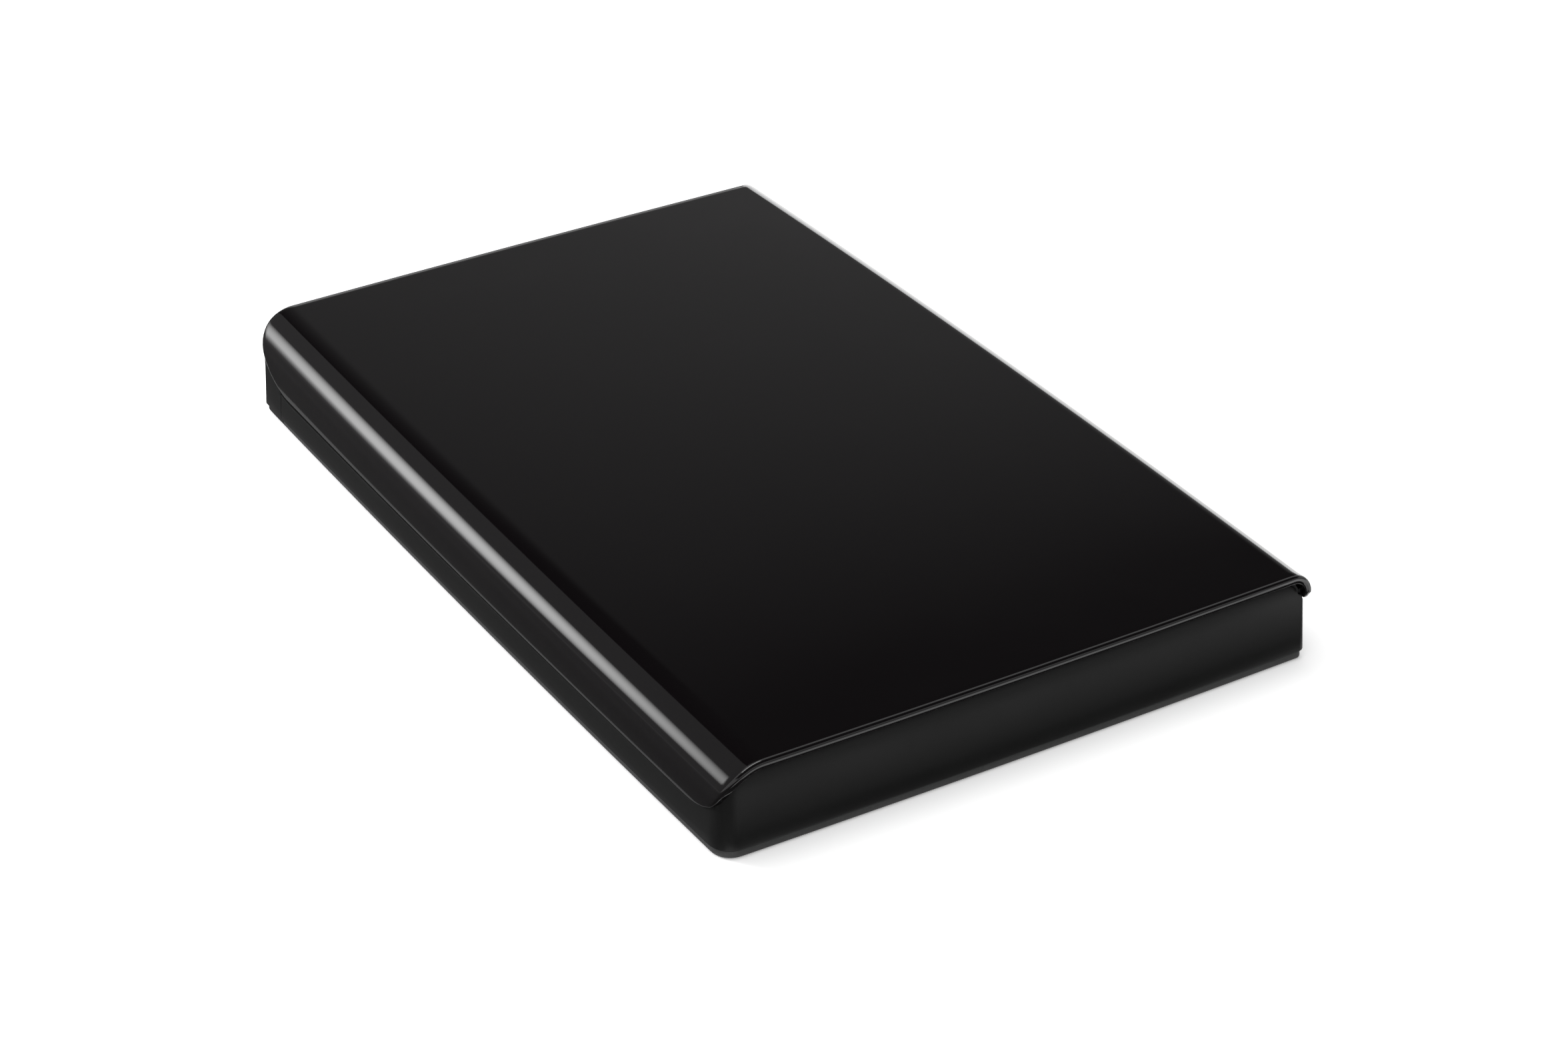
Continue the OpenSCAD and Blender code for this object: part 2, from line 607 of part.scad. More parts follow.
module sata_plug_contacts() {
    color("#c9a24a") for (x = contact_xs())
        span_block([x - contact_w / 2, x + contact_w / 2], [tongue_y[0] + 0.1, tongue_y[1] - 0.6],
                   [tongue_z[1], tongue_z[1] + contact_t]);
}

// Matching socket on the bridge board: its front half enters the drive's recess
socket_x = [-18.9, 18.7];
socket_y = [38.9, 47.5];
socket_z = [3.5, 7.4];
socket_step_y = 44.7;
slot_fit = 0.15;
spring_t = 0.25;
module sata_socket() {
    color("#17181a") difference() {
        union() {
            span_block(socket_x, [socket_y[0], socket_step_y], socket_z);
            span_block(socket_x, [socket_step_y - bite, socket_y[1]], [board_top, socket_z[1]]);
        }
        for (x = [signal_x, power_x]) {
            span_block([x[0] - slot_fit, x[1] + slot_fit],
                       [socket_y[0] - slot_fit, tongue_y[1] + slot_fit],
                       [tongue_z[0] - slot_fit, tongue_z[1] + contact_t + spring_t + slot_fit]);
            span_block([x[0] - slot_fit, x[0] + 1.1 + slot_fit],
                       [socket_y[0] - slot_fit, tongue_y[1] + slot_fit],
                       [tongue_z[0] - 1 - slot_fit, tongue_z[1]]);
        }
    }
}
// Spring contacts lie on the plug's contacts, and their tails reach the board behind the socket.
module sata_socket_contacts() {
    spring_z = [tongue_z[1] + contact_t, tongue_z[1] + contact_t + spring_t];
    color("#c9a24a") for (x = contact_xs()) {
        span_block([x - 0.2, x + 0.2], [socket_y[0] + 0.6, tongue_y[1] + slot_fit], spring_z);
        span_block([x - 0.2, x + 0.2], [socket_y[1], socket_y[1] + 1.1],
                   [board_top, board_top + 0.25]);
    }
}

// Bridge board and what it carries
bridge_x = 33;
bridge_y = [44.9, 57.2];
module bridge_board() {
    color("#1d5a3a") difference() {
        span_block([-bridge_x, bridge_x], bridge_y, [board_top - board_t, board_top]);
        for (s = [-1, 1]) translate([s * board_boss_x, board_boss_y, 0])
            cylinder(r = board_bore_r + 0.15, h = board_top + 1);
    }
}
module on_board(x, y, w, l, h) translate([x - w / 2, y - l / 2, board_top]) cube([w, l, h]);
module bridge_chip() {
    color("#1f2023") on_board(18.5, 52.6, 7, 7, 0.9);
}
module firmware_chip() {
    color("#1f2023") {
        on_board(-20.5, 53, 5, 4, 1.6);
        for (i = [0 : 3]) for (s = [-1, 1])
            translate([-22.4 + 1.27 * i - 0.2, 53 + s * 2.6 - 0.6, board_top]) cube([0.4, 1.2, 0.3]);
    }
}
module clock_crystal() {
    color("#b9bbbe") on_board(10.8, 50.6, 3.2, 2.5, 0.8);
}
module power_inductor() {
    color("#3d3f42") {
        on_board(25.4, 49.6, 4, 4, 0.5);
        translate([25.4, 49.6, board_top + 0.4]) cylinder(r = 1.5, h = 1);
        translate([25.4, 49.6, board_top + 1.3]) cylinder(r = 1.95, h = 0.5);
    }
}
module bridge_capacitors() {
    color("#b49a78") {
        for (i = [0 : 5]) on_board(-16 + 1.8 * i, 49.8, 0.8, 1.6, 0.8);
        for (i = [0 : 3]) on_board(13.2, 50.2 + 1.7 * i, 1.6, 0.8, 0.8);
    }
}

// USB 3 micro-B socket: folded metal shell, insulator with two tongues, and contacts
shell_t = 0.3;
usb_split = 0.85;
module usb_mouth(d) {
    w = port_w - 2 * d;
    h = port_h - 2 * d;
    a = 0.7;
    polygon([[-w / 2 + a, -h / 2], [usb_split, -h / 2], [usb_split, -h / 2 + 0.5],
             [usb_split + 1, -h / 2 + 0.5], [usb_split + 1, -h / 2], [w / 2 - a, -h / 2],
             [w / 2, -h / 2 + a], [w / 2, h / 2], [-w / 2, h / 2], [-w / 2, -h / 2 + a]]);
}
module usb_shell() {
    color("#c3c5c8") {
        along_y(port_y0, port_y1, port_z) difference() {
            usb_mouth(0);
            usb_mouth(shell_t);
        }
        along_y(port_y0, port_y0 + shell_t, port_z) usb_mouth(0);
    }
}
usb_tongue_x = [[-4.7, -0.2], [2.3, 5.4]];
usb_tongue_z = [port_z + 0.1, port_z + 0.6];
module usb_insulator() {
    color("#151618") {
        along_y(port_y0 + shell_t, port_y0 + 1.6, port_z) usb_mouth(shell_t);
        for (x = usb_tongue_x)
            span_block(x, [port_y0 + 1.5, port_y1 - 0.7], usb_tongue_z);
    }
}
module usb_contacts() {
    color("#c9a24a") for (t = usb_tongue_x) {
        pitch = (t[1] - t[0]) / 5;
        for (i = [0 : 4]) let (x = t[0] + pitch * (i + 0.5))
            span_block([x - 0.15, x + 0.15], [port_y0 + 1.6, port_y1 - 1],
                       [usb_tongue_z[0] - contact_t, usb_tongue_z[0]]);
    }
}

// Activity light: a side-firing lamp on the board and the pipe that carries it through the wall
led_y = [54.7, 56.1];
module activity_led() {
    color("#e9ecef") span_block([pipe_x - 1, pipe_x + 1], led_y, [board_top, pipe_z + 0.6]);
}
flange_y1 = half_l(pipe_x) - end_inset - end_wall_t - 0.021;
module light_pipe() {
    color("#dfe6ee") {
        translate([pipe_x, 0, 0]) along_y(led_y[1] + 0.2, case_l / 2 - end_inset - 0.25, pipe_z)
            circle(d = pipe_d);
        translate([pipe_x, 0, 0]) along_y(flange_y1 - 0.6, flange_y1, pipe_z)
            circle(d = pipe_d + 0.6);
    }
}

// Foam between the drive and the cover, rubber in front of the drive, film under the board
pad_y = [[-46, -34], [8, 20], [26, 38]];
module foam_pads() {
    color("#2b2c2e") for (y = pad_y)
        translate([-27, 0, 0]) rotate([90, 0, 90]) linear_extrude(height = 54)
            polygon([[y[0], drive_z + drive_h], [y[1], drive_z + drive_h],
                     [y[1], top_z(y[1]) - cover_t], [y[0], top_z(y[0]) - cover_t]]);
}
module front_bumpers() {
    color("#1a1a1a") for (s = [-1, 1])
        span_block([s * 20 - 6, s * 20 + 6], [-57.75, drive_y], [3.4, 7.4]);
}
module insulating_film() {
    color("#c8b98a") difference() {
        span_block([-31.8, 31.8], [43.6, 57.1], [base_t, base_t + 0.2]);
        for (s = [-1, 1]) {
            translate([s * board_boss_x, board_boss_y, base_t - 1]) cylinder(r = 2.5, h = 3);
            translate([s * board_boss_x, post_y, base_t - 1]) cylinder(r = 1.6, h = 3);
        }
    }
}

top_cover();
frame();
port_end_cap();
base_plate();
case_screws();
drive_tray();
drive_lid();
drive_screws();
drive_board();
drive_controller();
cache_chip();
flash_chips();
drive_capacitors();
sata_plug();
sata_plug_contacts();
thermal_pads();
bridge_board();
board_screws();
sata_socket();
sata_socket_contacts();
bridge_chip();
firmware_chip();
clock_crystal();
power_inductor();
bridge_capacitors();
usb_shell();
usb_insulator();
usb_contacts();
activity_led();
light_pipe();
foam_pads();
front_bumpers();
insulating_film();
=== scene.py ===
"""Portable solid state drive: a glossy rolled cover over a satin moulded frame, on a pale table.

The object's lengths are in millimetres and the stage's in metres: +X runs across the case, +Y
towards the end with the port, +Z up.
"""

import json
import math

import bmesh
import bpy
from bpy.props import FloatProperty, FloatVectorProperty, PointerProperty
from mathutils import Matrix, Vector


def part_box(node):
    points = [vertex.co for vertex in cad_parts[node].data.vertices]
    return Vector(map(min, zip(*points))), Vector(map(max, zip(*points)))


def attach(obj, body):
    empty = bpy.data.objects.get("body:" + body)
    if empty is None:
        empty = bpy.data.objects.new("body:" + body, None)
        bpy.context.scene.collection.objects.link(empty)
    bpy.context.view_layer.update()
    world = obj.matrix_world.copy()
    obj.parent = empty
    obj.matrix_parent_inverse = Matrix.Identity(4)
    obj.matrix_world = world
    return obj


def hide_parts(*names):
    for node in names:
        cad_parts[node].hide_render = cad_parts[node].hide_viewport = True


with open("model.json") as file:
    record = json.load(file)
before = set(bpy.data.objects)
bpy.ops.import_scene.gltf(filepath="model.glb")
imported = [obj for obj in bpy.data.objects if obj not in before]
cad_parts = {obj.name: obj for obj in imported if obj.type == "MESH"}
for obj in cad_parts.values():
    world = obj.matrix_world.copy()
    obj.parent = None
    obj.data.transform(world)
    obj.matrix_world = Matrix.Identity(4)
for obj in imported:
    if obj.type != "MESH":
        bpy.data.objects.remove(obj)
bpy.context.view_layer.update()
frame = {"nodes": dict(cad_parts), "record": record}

bl_info = {
    "name": "Portable solid state drive",
    "version": (1, 0, 0),
    "blender": (4, 5, 0),
    "location": "3D View > Sidebar > Drive",
    "description": "Builds the case of a portable solid state drive round its packed solids",
    "category": "Object",
}

MM = 0.001


# Sizes and colours a user would change

def length(name, description, default_mm):
    return FloatProperty(name=name, description=description, default=default_mm * MM,
                         subtype="DISTANCE", unit="LENGTH", precision=5)


class CaseSizes(bpy.types.PropertyGroup):
    """Sizes of the case"""
    case_l: length("Length", "Length over the cover's end rims", 120)
    case_w: length("Width", "Width over the cover's long edges", 75)
    front_h: length("Front height", "Height at the plain end", 11.4)
    rear_h: length("Rear height", "Height at the end with the port", 13.4)
    left_bow: length("Left bow", "How far the left side bows out", 0.45)
    right_bow: length("Right bow", "How far the right side bows out", 0.8)
    end_bow: length("End bow", "How far each short end bows out", 0.35)
    cover_t: length("Sheet", "Thickness of the cover sheet", 1.1)
    roll_r: length("Roll", "Radius of the large roll", 5.3)
    skirt_z: length("Skirt height", "Height of the skirt's lower edge", 4.45)
    tuck_r: length("Tuck", "Radius of the skirt's inward curve", 12)
    skirt_corner_r: length("Skirt corner", "Radius of the skirt's end corners", 8.5)
    edge_r: length("Small roll", "Radius of the small roll", 2.6)
    lip_drop: length("Lip", "Depth of the lip below the top face", 3.8)
    lip_corner_r: length("Lip corner", "Radius of the lip's end corners", 1.2)
    rim_r: length("Rim", "Rounding of the cover's rims where the sheet is full", 0.5)
    rim_undercut: length("Rim undercut", "How far the end rims lean in below", 0.15)
    left_r: length("Left corners", "Radius of the upright corners on the left", 2.7)
    right_r: length("Right corners", "Radius of the upright corners on the right", 0.9)
    cap_left_r: length("Cap corner", "Radius of the end cap's upright corner on the left", 0.7)
    end_inset: length("End inset", "Step from the rims back to the end walls", 0.55)
    base_t: length("Base", "Thickness of the base plate", 1.15)
    base_inset: length("Base inset", "Step from the frame back to the base plate", 0.3)
    base_edge_r: length("Base edge", "Rounding of the base plate's lower edge", 0.4)
    seam: length("Seam", "Distance of the end cap's seam from the rear rim", 6.5)


def hex_colour(code):
    """sRGB hex to linear RGBA"""
    parts = [int(code[i:i + 2], 16) / 255 for i in (0, 2, 4)]
    return tuple(c / 12.92 if c <= 0.04045 else ((c + 0.055) / 1.055) ** 2.4
                 for c in parts) + (1.0,)


def tint(name, description, code):
    return FloatVectorProperty(name=name, description=description, default=hex_colour(code),
                               size=4, subtype="COLOR", min=0, max=1)


class CaseColours(bpy.types.PropertyGroup):
    """Colours of the case"""
    cover: tint("Cover", "Glossy black of the cover sheet", "0A0809")
    frame: tint("Frame", "Satin black of the frame", "171717")
    base: tint("Base", "Textured black of the base plate", "393939")


def sizes():
    """The sizes in millimetres, by name"""
    s = bpy.context.scene.drive_sizes
    return {k: getattr(s, k) / MM for k in CaseSizes.__annotations__}


# Details of the walls that go with the solids

SMOOTH_DEG = 32  # flatter edges than this are shaded smooth
GAP = 0.1  # between the cover's inner face and the walls
SEAM_GAP = 0.12  # between the frame and the end cap
END_LEAN, LEFT_LEAN, RIGHT_LEAN = 0.052, 0.085, 0.04  # inward, per millimetre of height
END_WALL_T = 1.5  # thickness of the end walls
CLEAR_HALF_W = 35.25  # half the clear width between the side walls
# How far in the walls step back under the cover's edge, and the least that shows as a step
END_STEP, LEFT_STEP, RIGHT_STEP, LEAST_STEP = 0.4, 1.45, 0.75, 0.3
END_LEDGE_DROP = 0.55  # from the roof of the end walls down to that step
LEDGE_R = 0.12  # rounding of the outer face into the step
# The outer face curves in below the rims: where it starts below the top face, over what height
# it gains the given depth
CURVE_START, CURVE_REACH, CURVE_DEPTH = 3.5, 2, 0.35
FOOT_IN, FOOT_FACE_IN, FOOT_H = 0.16, 0.05, 0.05  # the shadow line over the base plate
GROOVE_H, GROOVE_IN = 0.18, 0.35  # the groove at the top of the base plate
TONGUE_HALF_W, TONGUE_END = 35.1, 57.45  # of the base plate between the end cap's walls
# The port's opening and the shallow recess round it: clearance, where it starts, corner radius
PORT_CUTS = ((0.15, 54.6, 0.2), (0.9, 58.8, 0.85))
PIPE_HOLE_R = 0.81  # of the hole for the light pipe beside the port
PAST_END = 62  # a place beyond the case's end, for cutters


# The form of the case

class Form:
    """Rules for the bowed, wedge-shaped case, in millimetres"""

    def __init__(self):
        self.__dict__.update(sizes())
        self.slope = (self.rear_h - self.front_h) / self.case_l
        self.mid_h = (self.front_h + self.rear_h) / 2

    def top_z(self, y):
        """Height of the top face at a place along the case"""
        return self.mid_h + self.slope * y

    def bow(self, side):
        """How far a long side bows out; side is below 0 on the left"""
        return self.left_bow if side < 0 else self.right_bow

    def half_w(self, side, y):
        """Distance from the middle plane to a long side, at a place along the case"""
        return self.case_w / 2 - self.bow(side) * (2 * y / self.case_l) ** 2

    def half_l(self, x):
        """Distance from the middle to the cover's end rims, at a place across the case"""
        return self.case_l / 2 - self.end_bow * (2 * x / self.case_w) ** 2


def corner_cut(d, r):
    """How much a corner of radius r cuts back an edge at distance d from the corner"""
    return 0 if d >= r else r - math.sqrt(max(0, r * r - (r - d) ** 2))


def mix(a, b, t):
    """From a to b as t goes from 0 to 1"""
    return a + (b - a) * t


# Modelling steps

def clear_selection():
    if bpy.context.object and bpy.context.object.mode != "OBJECT":
        bpy.ops.object.mode_set(mode="OBJECT")
    bpy.ops.object.select_all(action="DESELECT")


def choose(piece):
    """Selects one piece alone and makes it the active one"""
    clear_selection()
    piece.select_set(True)
    bpy.context.view_layer.objects.active = piece


def open_whole():
    """Opens the active piece in edit mode with everything selected"""
    bpy.ops.object.mode_set(mode="EDIT")
    bpy.ops.mesh.select_all(action="SELECT")


def started(name, add, **settings):
    """Adds a primitive, names it and opens it in edit mode with nothing selected"""
    clear_selection()
    add(**settings)
    piece = bpy.context.object
    piece.name = piece.data.name = name
    bpy.ops.object.transform_apply(location=True, rotation=True, scale=True)
    bpy.ops.object.mode_set(mode="EDIT")
    bpy.ops.mesh.select_all(action="DESELECT")
    return piece


def pick(piece, kind, test):
    """Selects the vertices, edges or faces that pass the test, and nothing else"""
    bm = bmesh.from_edit_mesh(piece.data)
    for group in (bm.verts, bm.edges, bm.faces):
        for e in group:
            e.select = False
    found = [e for e in getattr(bm, kind) if test(e)]
    for e in found:
        e.select = True
    bm.select_mode = {{"verts": "VERT", "edges": "EDGE", "faces": "FACE"}[kind]}
    bm.select_flush_mode()
    bmesh.update_edit_mesh(piece.data)
    return len(found)


def edge_at(axis, value):
    """Test for edges that lie wholly at one coordinate, in millimetres"""
    return lambda e: all(abs(v.co[axis] / MM - value) < 0.002 for v in e.verts)


def cut_across(axis, places):
    """Cuts the whole open mesh across one axis at each place"""
    normal = [0, 0, 0]
    normal[axis] = 1
    for place in places:
        bpy.ops.mesh.select_all(action="SELECT")
        point = [0, 0, 0]
        point[axis] = place * MM
        bpy.ops.mesh.bisect(plane_co=point, plane_no=normal)


def move_points(piece, rule):
    """Moves every point of the mesh by a rule in millimetres"""
    for v in piece.data.vertices:
        v.co = Vector(rule(*(v.co / MM))) * MM


def add_modifier(piece, kind, **settings):
    m = piece.modifiers.new(kind.title(), kind)
    for k, value in settings.items():
        setattr(m, k, value)
    return m


def finish_piece(piece, material, stands_for):
    """Applies the modifiers, turns the faces outward, smooths, and joins the piece to the frame"""
    choose(piece)
    for m in list(piece.modifiers):
        bpy.ops.object.modifier_apply(modifier=m.name)
    open_whole()
    bpy.ops.mesh.remove_doubles(threshold=0.002 * MM)
    bpy.ops.mesh.normals_make_consistent(inside=False)
    bpy.ops.object.mode_set(mode="OBJECT")
    bpy.ops.object.shade_smooth_by_angle(angle=math.radians(SMOOTH_DEG))
    piece.data.materials.clear()
    piece.data.materials.append(material)
    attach(piece, "root")
    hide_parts(*stands_for)


# Materials

SMEAR_MM = 14  # size of the patches of uneven gloss on moulded plastic


def add_node(tree, kind, settings=(), links=()):
    """Adds a node, sets its properties or sockets, and links sockets, by name or number"""
    node = tree.nodes.new(kind)
    for key, value in dict(settings).items():
        if isinstance(key, int) or key in node.inputs:
            node.inputs[key].default_value = value
        else:
            setattr(node, key, value)
    for key, source in dict(links).items():
        tree.links.new(source, node.inputs[key])
    return node


def blank_material(name):
    """A material with an empty node tree"""
    m = bpy.data.materials.new(name)
    m.use_nodes = True
    m.node_tree.nodes.clear()
    return m


def moulded(name, colour, rough, ior, grain_mm, grain_depth_mm, mottle=0.0, rough_swing=0.04,
            grain_detail=2.0, **shader):
    """A moulded plastic: one colour with slight mottling, uneven gloss, and a mould grain"""
    m = blank_material(name)
    t = m.node_tree
    coords = add_node(t, "ShaderNodeTexCoord").outputs["Object"]
    smear, grain = (add_node(t, "ShaderNodeTexNoise",
                             {"Scale": 1 / (size * MM), "Detail": detail, "Roughness": harshness},
                             {"Vector": coords}).outputs["Fac"]
                    for size, detail, harshness in ((SMEAR_MM, 3, 0.5),
                                                    (grain_mm, grain_detail, 0.6)))
    gloss = add_node(t, "ShaderNodeMapRange",
                     {"From Min": 0.3, "From Max": 0.7,
                      "To Min": rough - rough_swing, "To Max": rough + rough_swing},
                     {"Value": smear})
    # Sockets 6 and 7 are the two colours of a colour mix
    shade = add_node(t, "ShaderNodeMix",
                     {"data_type": "RGBA",
                      6: [c * (1 - mottle) for c in colour[:3]] + [1],
                      7: [c * (1 + mottle) for c in colour[:3]] + [1]}, {"Factor": grain})
    bump = add_node(t, "ShaderNodeBump", {"Strength": 1.0, "Distance": grain_depth_mm * MM},
                    {"Height": grain})
    bsdf = add_node(t, "ShaderNodeBsdfPrincipled", {"IOR": ior, **shader},
                    {"Base Color": shade.outputs[2], "Roughness": gloss.outputs["Result"],
                     "Normal": bump.outputs["Normal"]})
    add_node(t, "ShaderNodeOutputMaterial", links={"Surface": bsdf.outputs["BSDF"]})
    return m


def metal(name, colour, rough, grain_mm, swing=0.08):
    """A metal with a fine directionless grain in its gloss"""
    m = blank_material(name)
    t = m.node_tree
    coords = add_node(t, "ShaderNodeTexCoord").outputs["Object"]
    grain = add_node(t, "ShaderNodeTexNoise",
                     {"Scale": 1 / (grain_mm * MM), "Detail": 4, "Roughness": 0.6},
                     {"Vector": coords}).outputs["Fac"]
    gloss = add_node(t, "ShaderNodeMapRange",
                     {"From Min": 0.3, "From Max": 0.7,
                      "To Min": rough - swing, "To Max": rough + swing}, {"Value": grain})
    bump = add_node(t, "ShaderNodeBump", {"Strength": 0.4, "Distance": 0.004 * MM},
                    {"Height": grain})
    bsdf = add_node(t, "ShaderNodeBsdfPrincipled", {"Base Color": colour, "Metallic": 1.0},
                    {"Roughness": gloss.outputs["Result"], "Normal": bump.outputs["Normal"]})
    add_node(t, "ShaderNodeOutputMaterial", links={"Surface": bsdf.outputs["BSDF"]})
    return m


def gloss_abs():
    """ABS from a polished mould: near-black, mirror-like, with a faint flow ripple"""
    return moulded("Gloss black ABS", tuple(bpy.context.scene.drive_colours.cover), 0.07, 1.5,
                   grain_mm=3.0, grain_depth_mm=0.0006, rough_swing=0.015)


def satin_abs():
    """ABS from a vapour-honed mould: soft reflections, fine even grain"""
    return moulded("Satin black ABS", tuple(bpy.context.scene.drive_colours.frame), 0.42, 1.3,
                   grain_mm=0.12, grain_depth_mm=0.004, mottle=0.06)


def spark_abs():
    """ABS from a spark-eroded mould: matt, with grains drawn at 0.25 mm so that they show"""
    return moulded("Spark-textured black ABS", tuple(bpy.context.scene.drive_colours.base), 0.6,
                   1.45, grain_mm=0.25, grain_depth_mm=0.03, mottle=0.35, grain_detail=4.0)


# Pieces

class DriveOperator:
    """What the drive's operators share"""
    bl_options = {"REGISTER", "UNDO"}


class DRIVE_OT_cover(DriveOperator, bpy.types.Operator):
    """Rolls a flat sheet over the left edge and folds it over the right edge"""
    bl_idname = "drive.cover"
    bl_label = "Top cover"

    def execute(self, context):
        f = Form()
        half = f.case_w / 2
        left, right = -half + f.roll_r, half - f.edge_r
        end = f.case_l / 2
        roll_z, edge_z = f.mid_h - f.roll_r, f.mid_h - f.edge_r
        tuck = math.asin((roll_z - f.skirt_z) / f.tuck_r)
        piece = started("top_cover_sheet", bpy.ops.mesh.primitive_plane_add, size=1,
                        location=((left + right) / 2 * MM, 0, f.mid_h * MM),
                        scale=((right - left) * MM, f.case_l * MM, 1))
        for v in bmesh.from_edit_mesh(piece.data).verts:
            v.co.x = (left if v.co.x < 0 else right) * MM
            v.co.y = math.copysign(end, v.co.y) * MM
        # Closer rows beside the rolls keep their smooth shading off the flat top
        cut_across(0, [left + 0.25, left + 1, left + 4, -16, 0, 16, right - 3, right - 0.8,
                       right - 0.2])

        def spin(x, z, centre, degrees, steps):
            """Spins the sheet's edge at one place round a centre"""
            if not pick(piece, "edges", lambda e: edge_at(0, x)(e) and edge_at(2, z)(e)):
                raise RuntimeError("no edge to spin")
            bpy.ops.mesh.spin(steps=steps, angle=math.radians(degrees), axis=(0, 1, 0),
                              center=(centre[0] * MM, 0, centre[1] * MM))

        spin(left, f.mid_h, (left, roll_z), 90, 30)
        spin(-half, roll_z, (-half + f.tuck_r, roll_z), math.degrees(tuck), 8)
        spin(right, f.mid_h, (right, edge_z), -90, 16)
        pick(piece, "edges", lambda e: edge_at(0, half)(e) and edge_at(2, edge_z)(e))
        drop = f.lip_drop - f.edge_r
        tip_short = 0.2  # the tip stays this far above the lip's nominal depth
        bpy.ops.mesh.extrude_edges_move(
            TRANSFORM_OT_translate={"value": (0, 0, -(drop - tip_short) * MM)})
        rows = [end * s / 24 for s in range(-23, 24)]
        # The last rows leave the rims' rounding a band of its own
        cut_across(1, [1.2 - end, *rows, end - 1.2])
        bpy.ops.mesh.select_all(action="SELECT")
        bpy.ops.mesh.remove_doubles(threshold=0.001 * MM)
        bpy.ops.object.mode_set(mode="OBJECT")

        def edge_distances(x, z):
            """Distance along the sheet from the skirt's lower edge and from the lip's tip"""
            far = f.case_w
            if x < left:
                if z < roll_z:
                    t = math.asin(min(1, (roll_z - z) / f.tuck_r))
                    return f.tuck_r * (tuck - t), far
                a = math.atan2(z - roll_z, left - x)
                return f.tuck_r * tuck + f.roll_r * a, far
            if x > right:
                if z < edge_z:
                    return far, z - (f.mid_h - f.lip_drop)
                a = math.atan2(z - edge_z, x - right)
                return far, drop + f.edge_r * a
            return far, far

        def bowed(x, y, z):
            """Where a point of the straight, level sheet goes on the bowed wedge"""
            skirt, lip = edge_distances(x, z)
            reach = (f.half_l(x) - corner_cut(skirt, f.skirt_corner_r)
                     - corner_cut(lip, f.lip_corner_r))
            y2 = y / end * reach
            in_left, in_right = half - f.half_w(-1, y2), half - f.half_w(1, y2)
            x2 = (x + in_left if x < left else x - in_right if x > right
                  else mix(left + in_left, right - in_right, (x - left) / (right - left)))
            lift = f.slope * y2
            if x < left and z < roll_z:
                # The skirt's edge stays level, and the curve above it takes up the wedge
                share = (z - f.skirt_z) / (roll_z - f.skirt_z)
                x2 += (1 - share) ** 2 * 0.09 * lift
                return x2, y2, z + lift * share
            return x2, y2, z + lift

        # The sheet thins to 0.8 mm at the skirt's edge over 3 mm, and to 0.6 mm at the lip's tip
        # over 5 mm: weight 0 is half the full thickness
        thin = piece.vertex_groups.new(name="thickness")
        for v in piece.data.vertices:
            x, y, z = v.co / MM
            skirt, lip = edge_distances(x, z)
            weight = min(1, 0.5 + skirt / 6, 0.05 + lip / 5)
            thin.add([v.index], max(0, weight), "REPLACE")
        move_points(piece, bowed)
        flip_up(piece)
        add_modifier(piece, "SOLIDIFY", thickness=f.cover_t * MM, offset=-1,
                     use_even_offset=True, vertex_group="thickness",
                     thickness_vertex_group=0.5)
        bpy.ops.object.modifier_apply(modifier=piece.modifiers[0].name)
        weigh_rims(piece, f.rim_r, f.rim_undercut, f.cover_t)
        add_modifier(piece, "BEVEL", width=f.rim_r * MM, segments=5, limit_method="WEIGHT",
                     use_clamp_overlap=False)
        finish_piece(piece, gloss_abs(), ["top_cover"])
        return {"FINISHED"}


def weigh_rims(piece, radius, undercut, full_t):
    """Undercuts the end rims and gives each sharp edge a share of the rounding

    An edge gets up to nearly half of the narrower face beside it, and half of that on the inside.
    """
    sharp = math.radians(50)
    inside_z = 6 * MM  # a height inside the case, which the sheet's inner edges face
    bm = bmesh.new()
    bm.from_mesh(piece.data)
    weight = bm.edges.layers.float.new("bevel_weight_edge")
    under = {}
    for e in bm.edges:
        if len(e.link_faces) == 2 and e.calc_face_angle() > sharp:
            face, side = sorted(e.link_faces, key=lambda g: -abs(g.normal.y))
            room = min(g.calc_area() for g in e.link_faces) / e.calc_length() / MM
            middle = (e.verts[0].co + e.verts[1].co) / 2
            inner = side.normal.dot(middle - Vector((0, middle.y, inside_z))) < 0
            e[weight] = min(1, 0.45 * room / radius) * (0.5 if inner else 1)
            if inner and abs(face.normal.y) > 0.8:
                for v in e.verts:
                    under[v] = undercut * min(1, room / full_t) * MM
    for v, shift in under.items():
        v.co.y -= math.copysign(shift, v.co.y)
    bm.to_mesh(piece.data)
    bm.free()


def flip_up(piece):
    """Turns an open sheet so that its top face looks up"""
    choose(piece)
    open_whole()
    bpy.ops.mesh.normals_make_consistent(inside=False)
    bpy.ops.object.mode_set(mode="OBJECT")
    top = max(piece.data.polygons, key=lambda p: p.area)
    if top.normal.z < 0:
        piece.data.flip_normals()


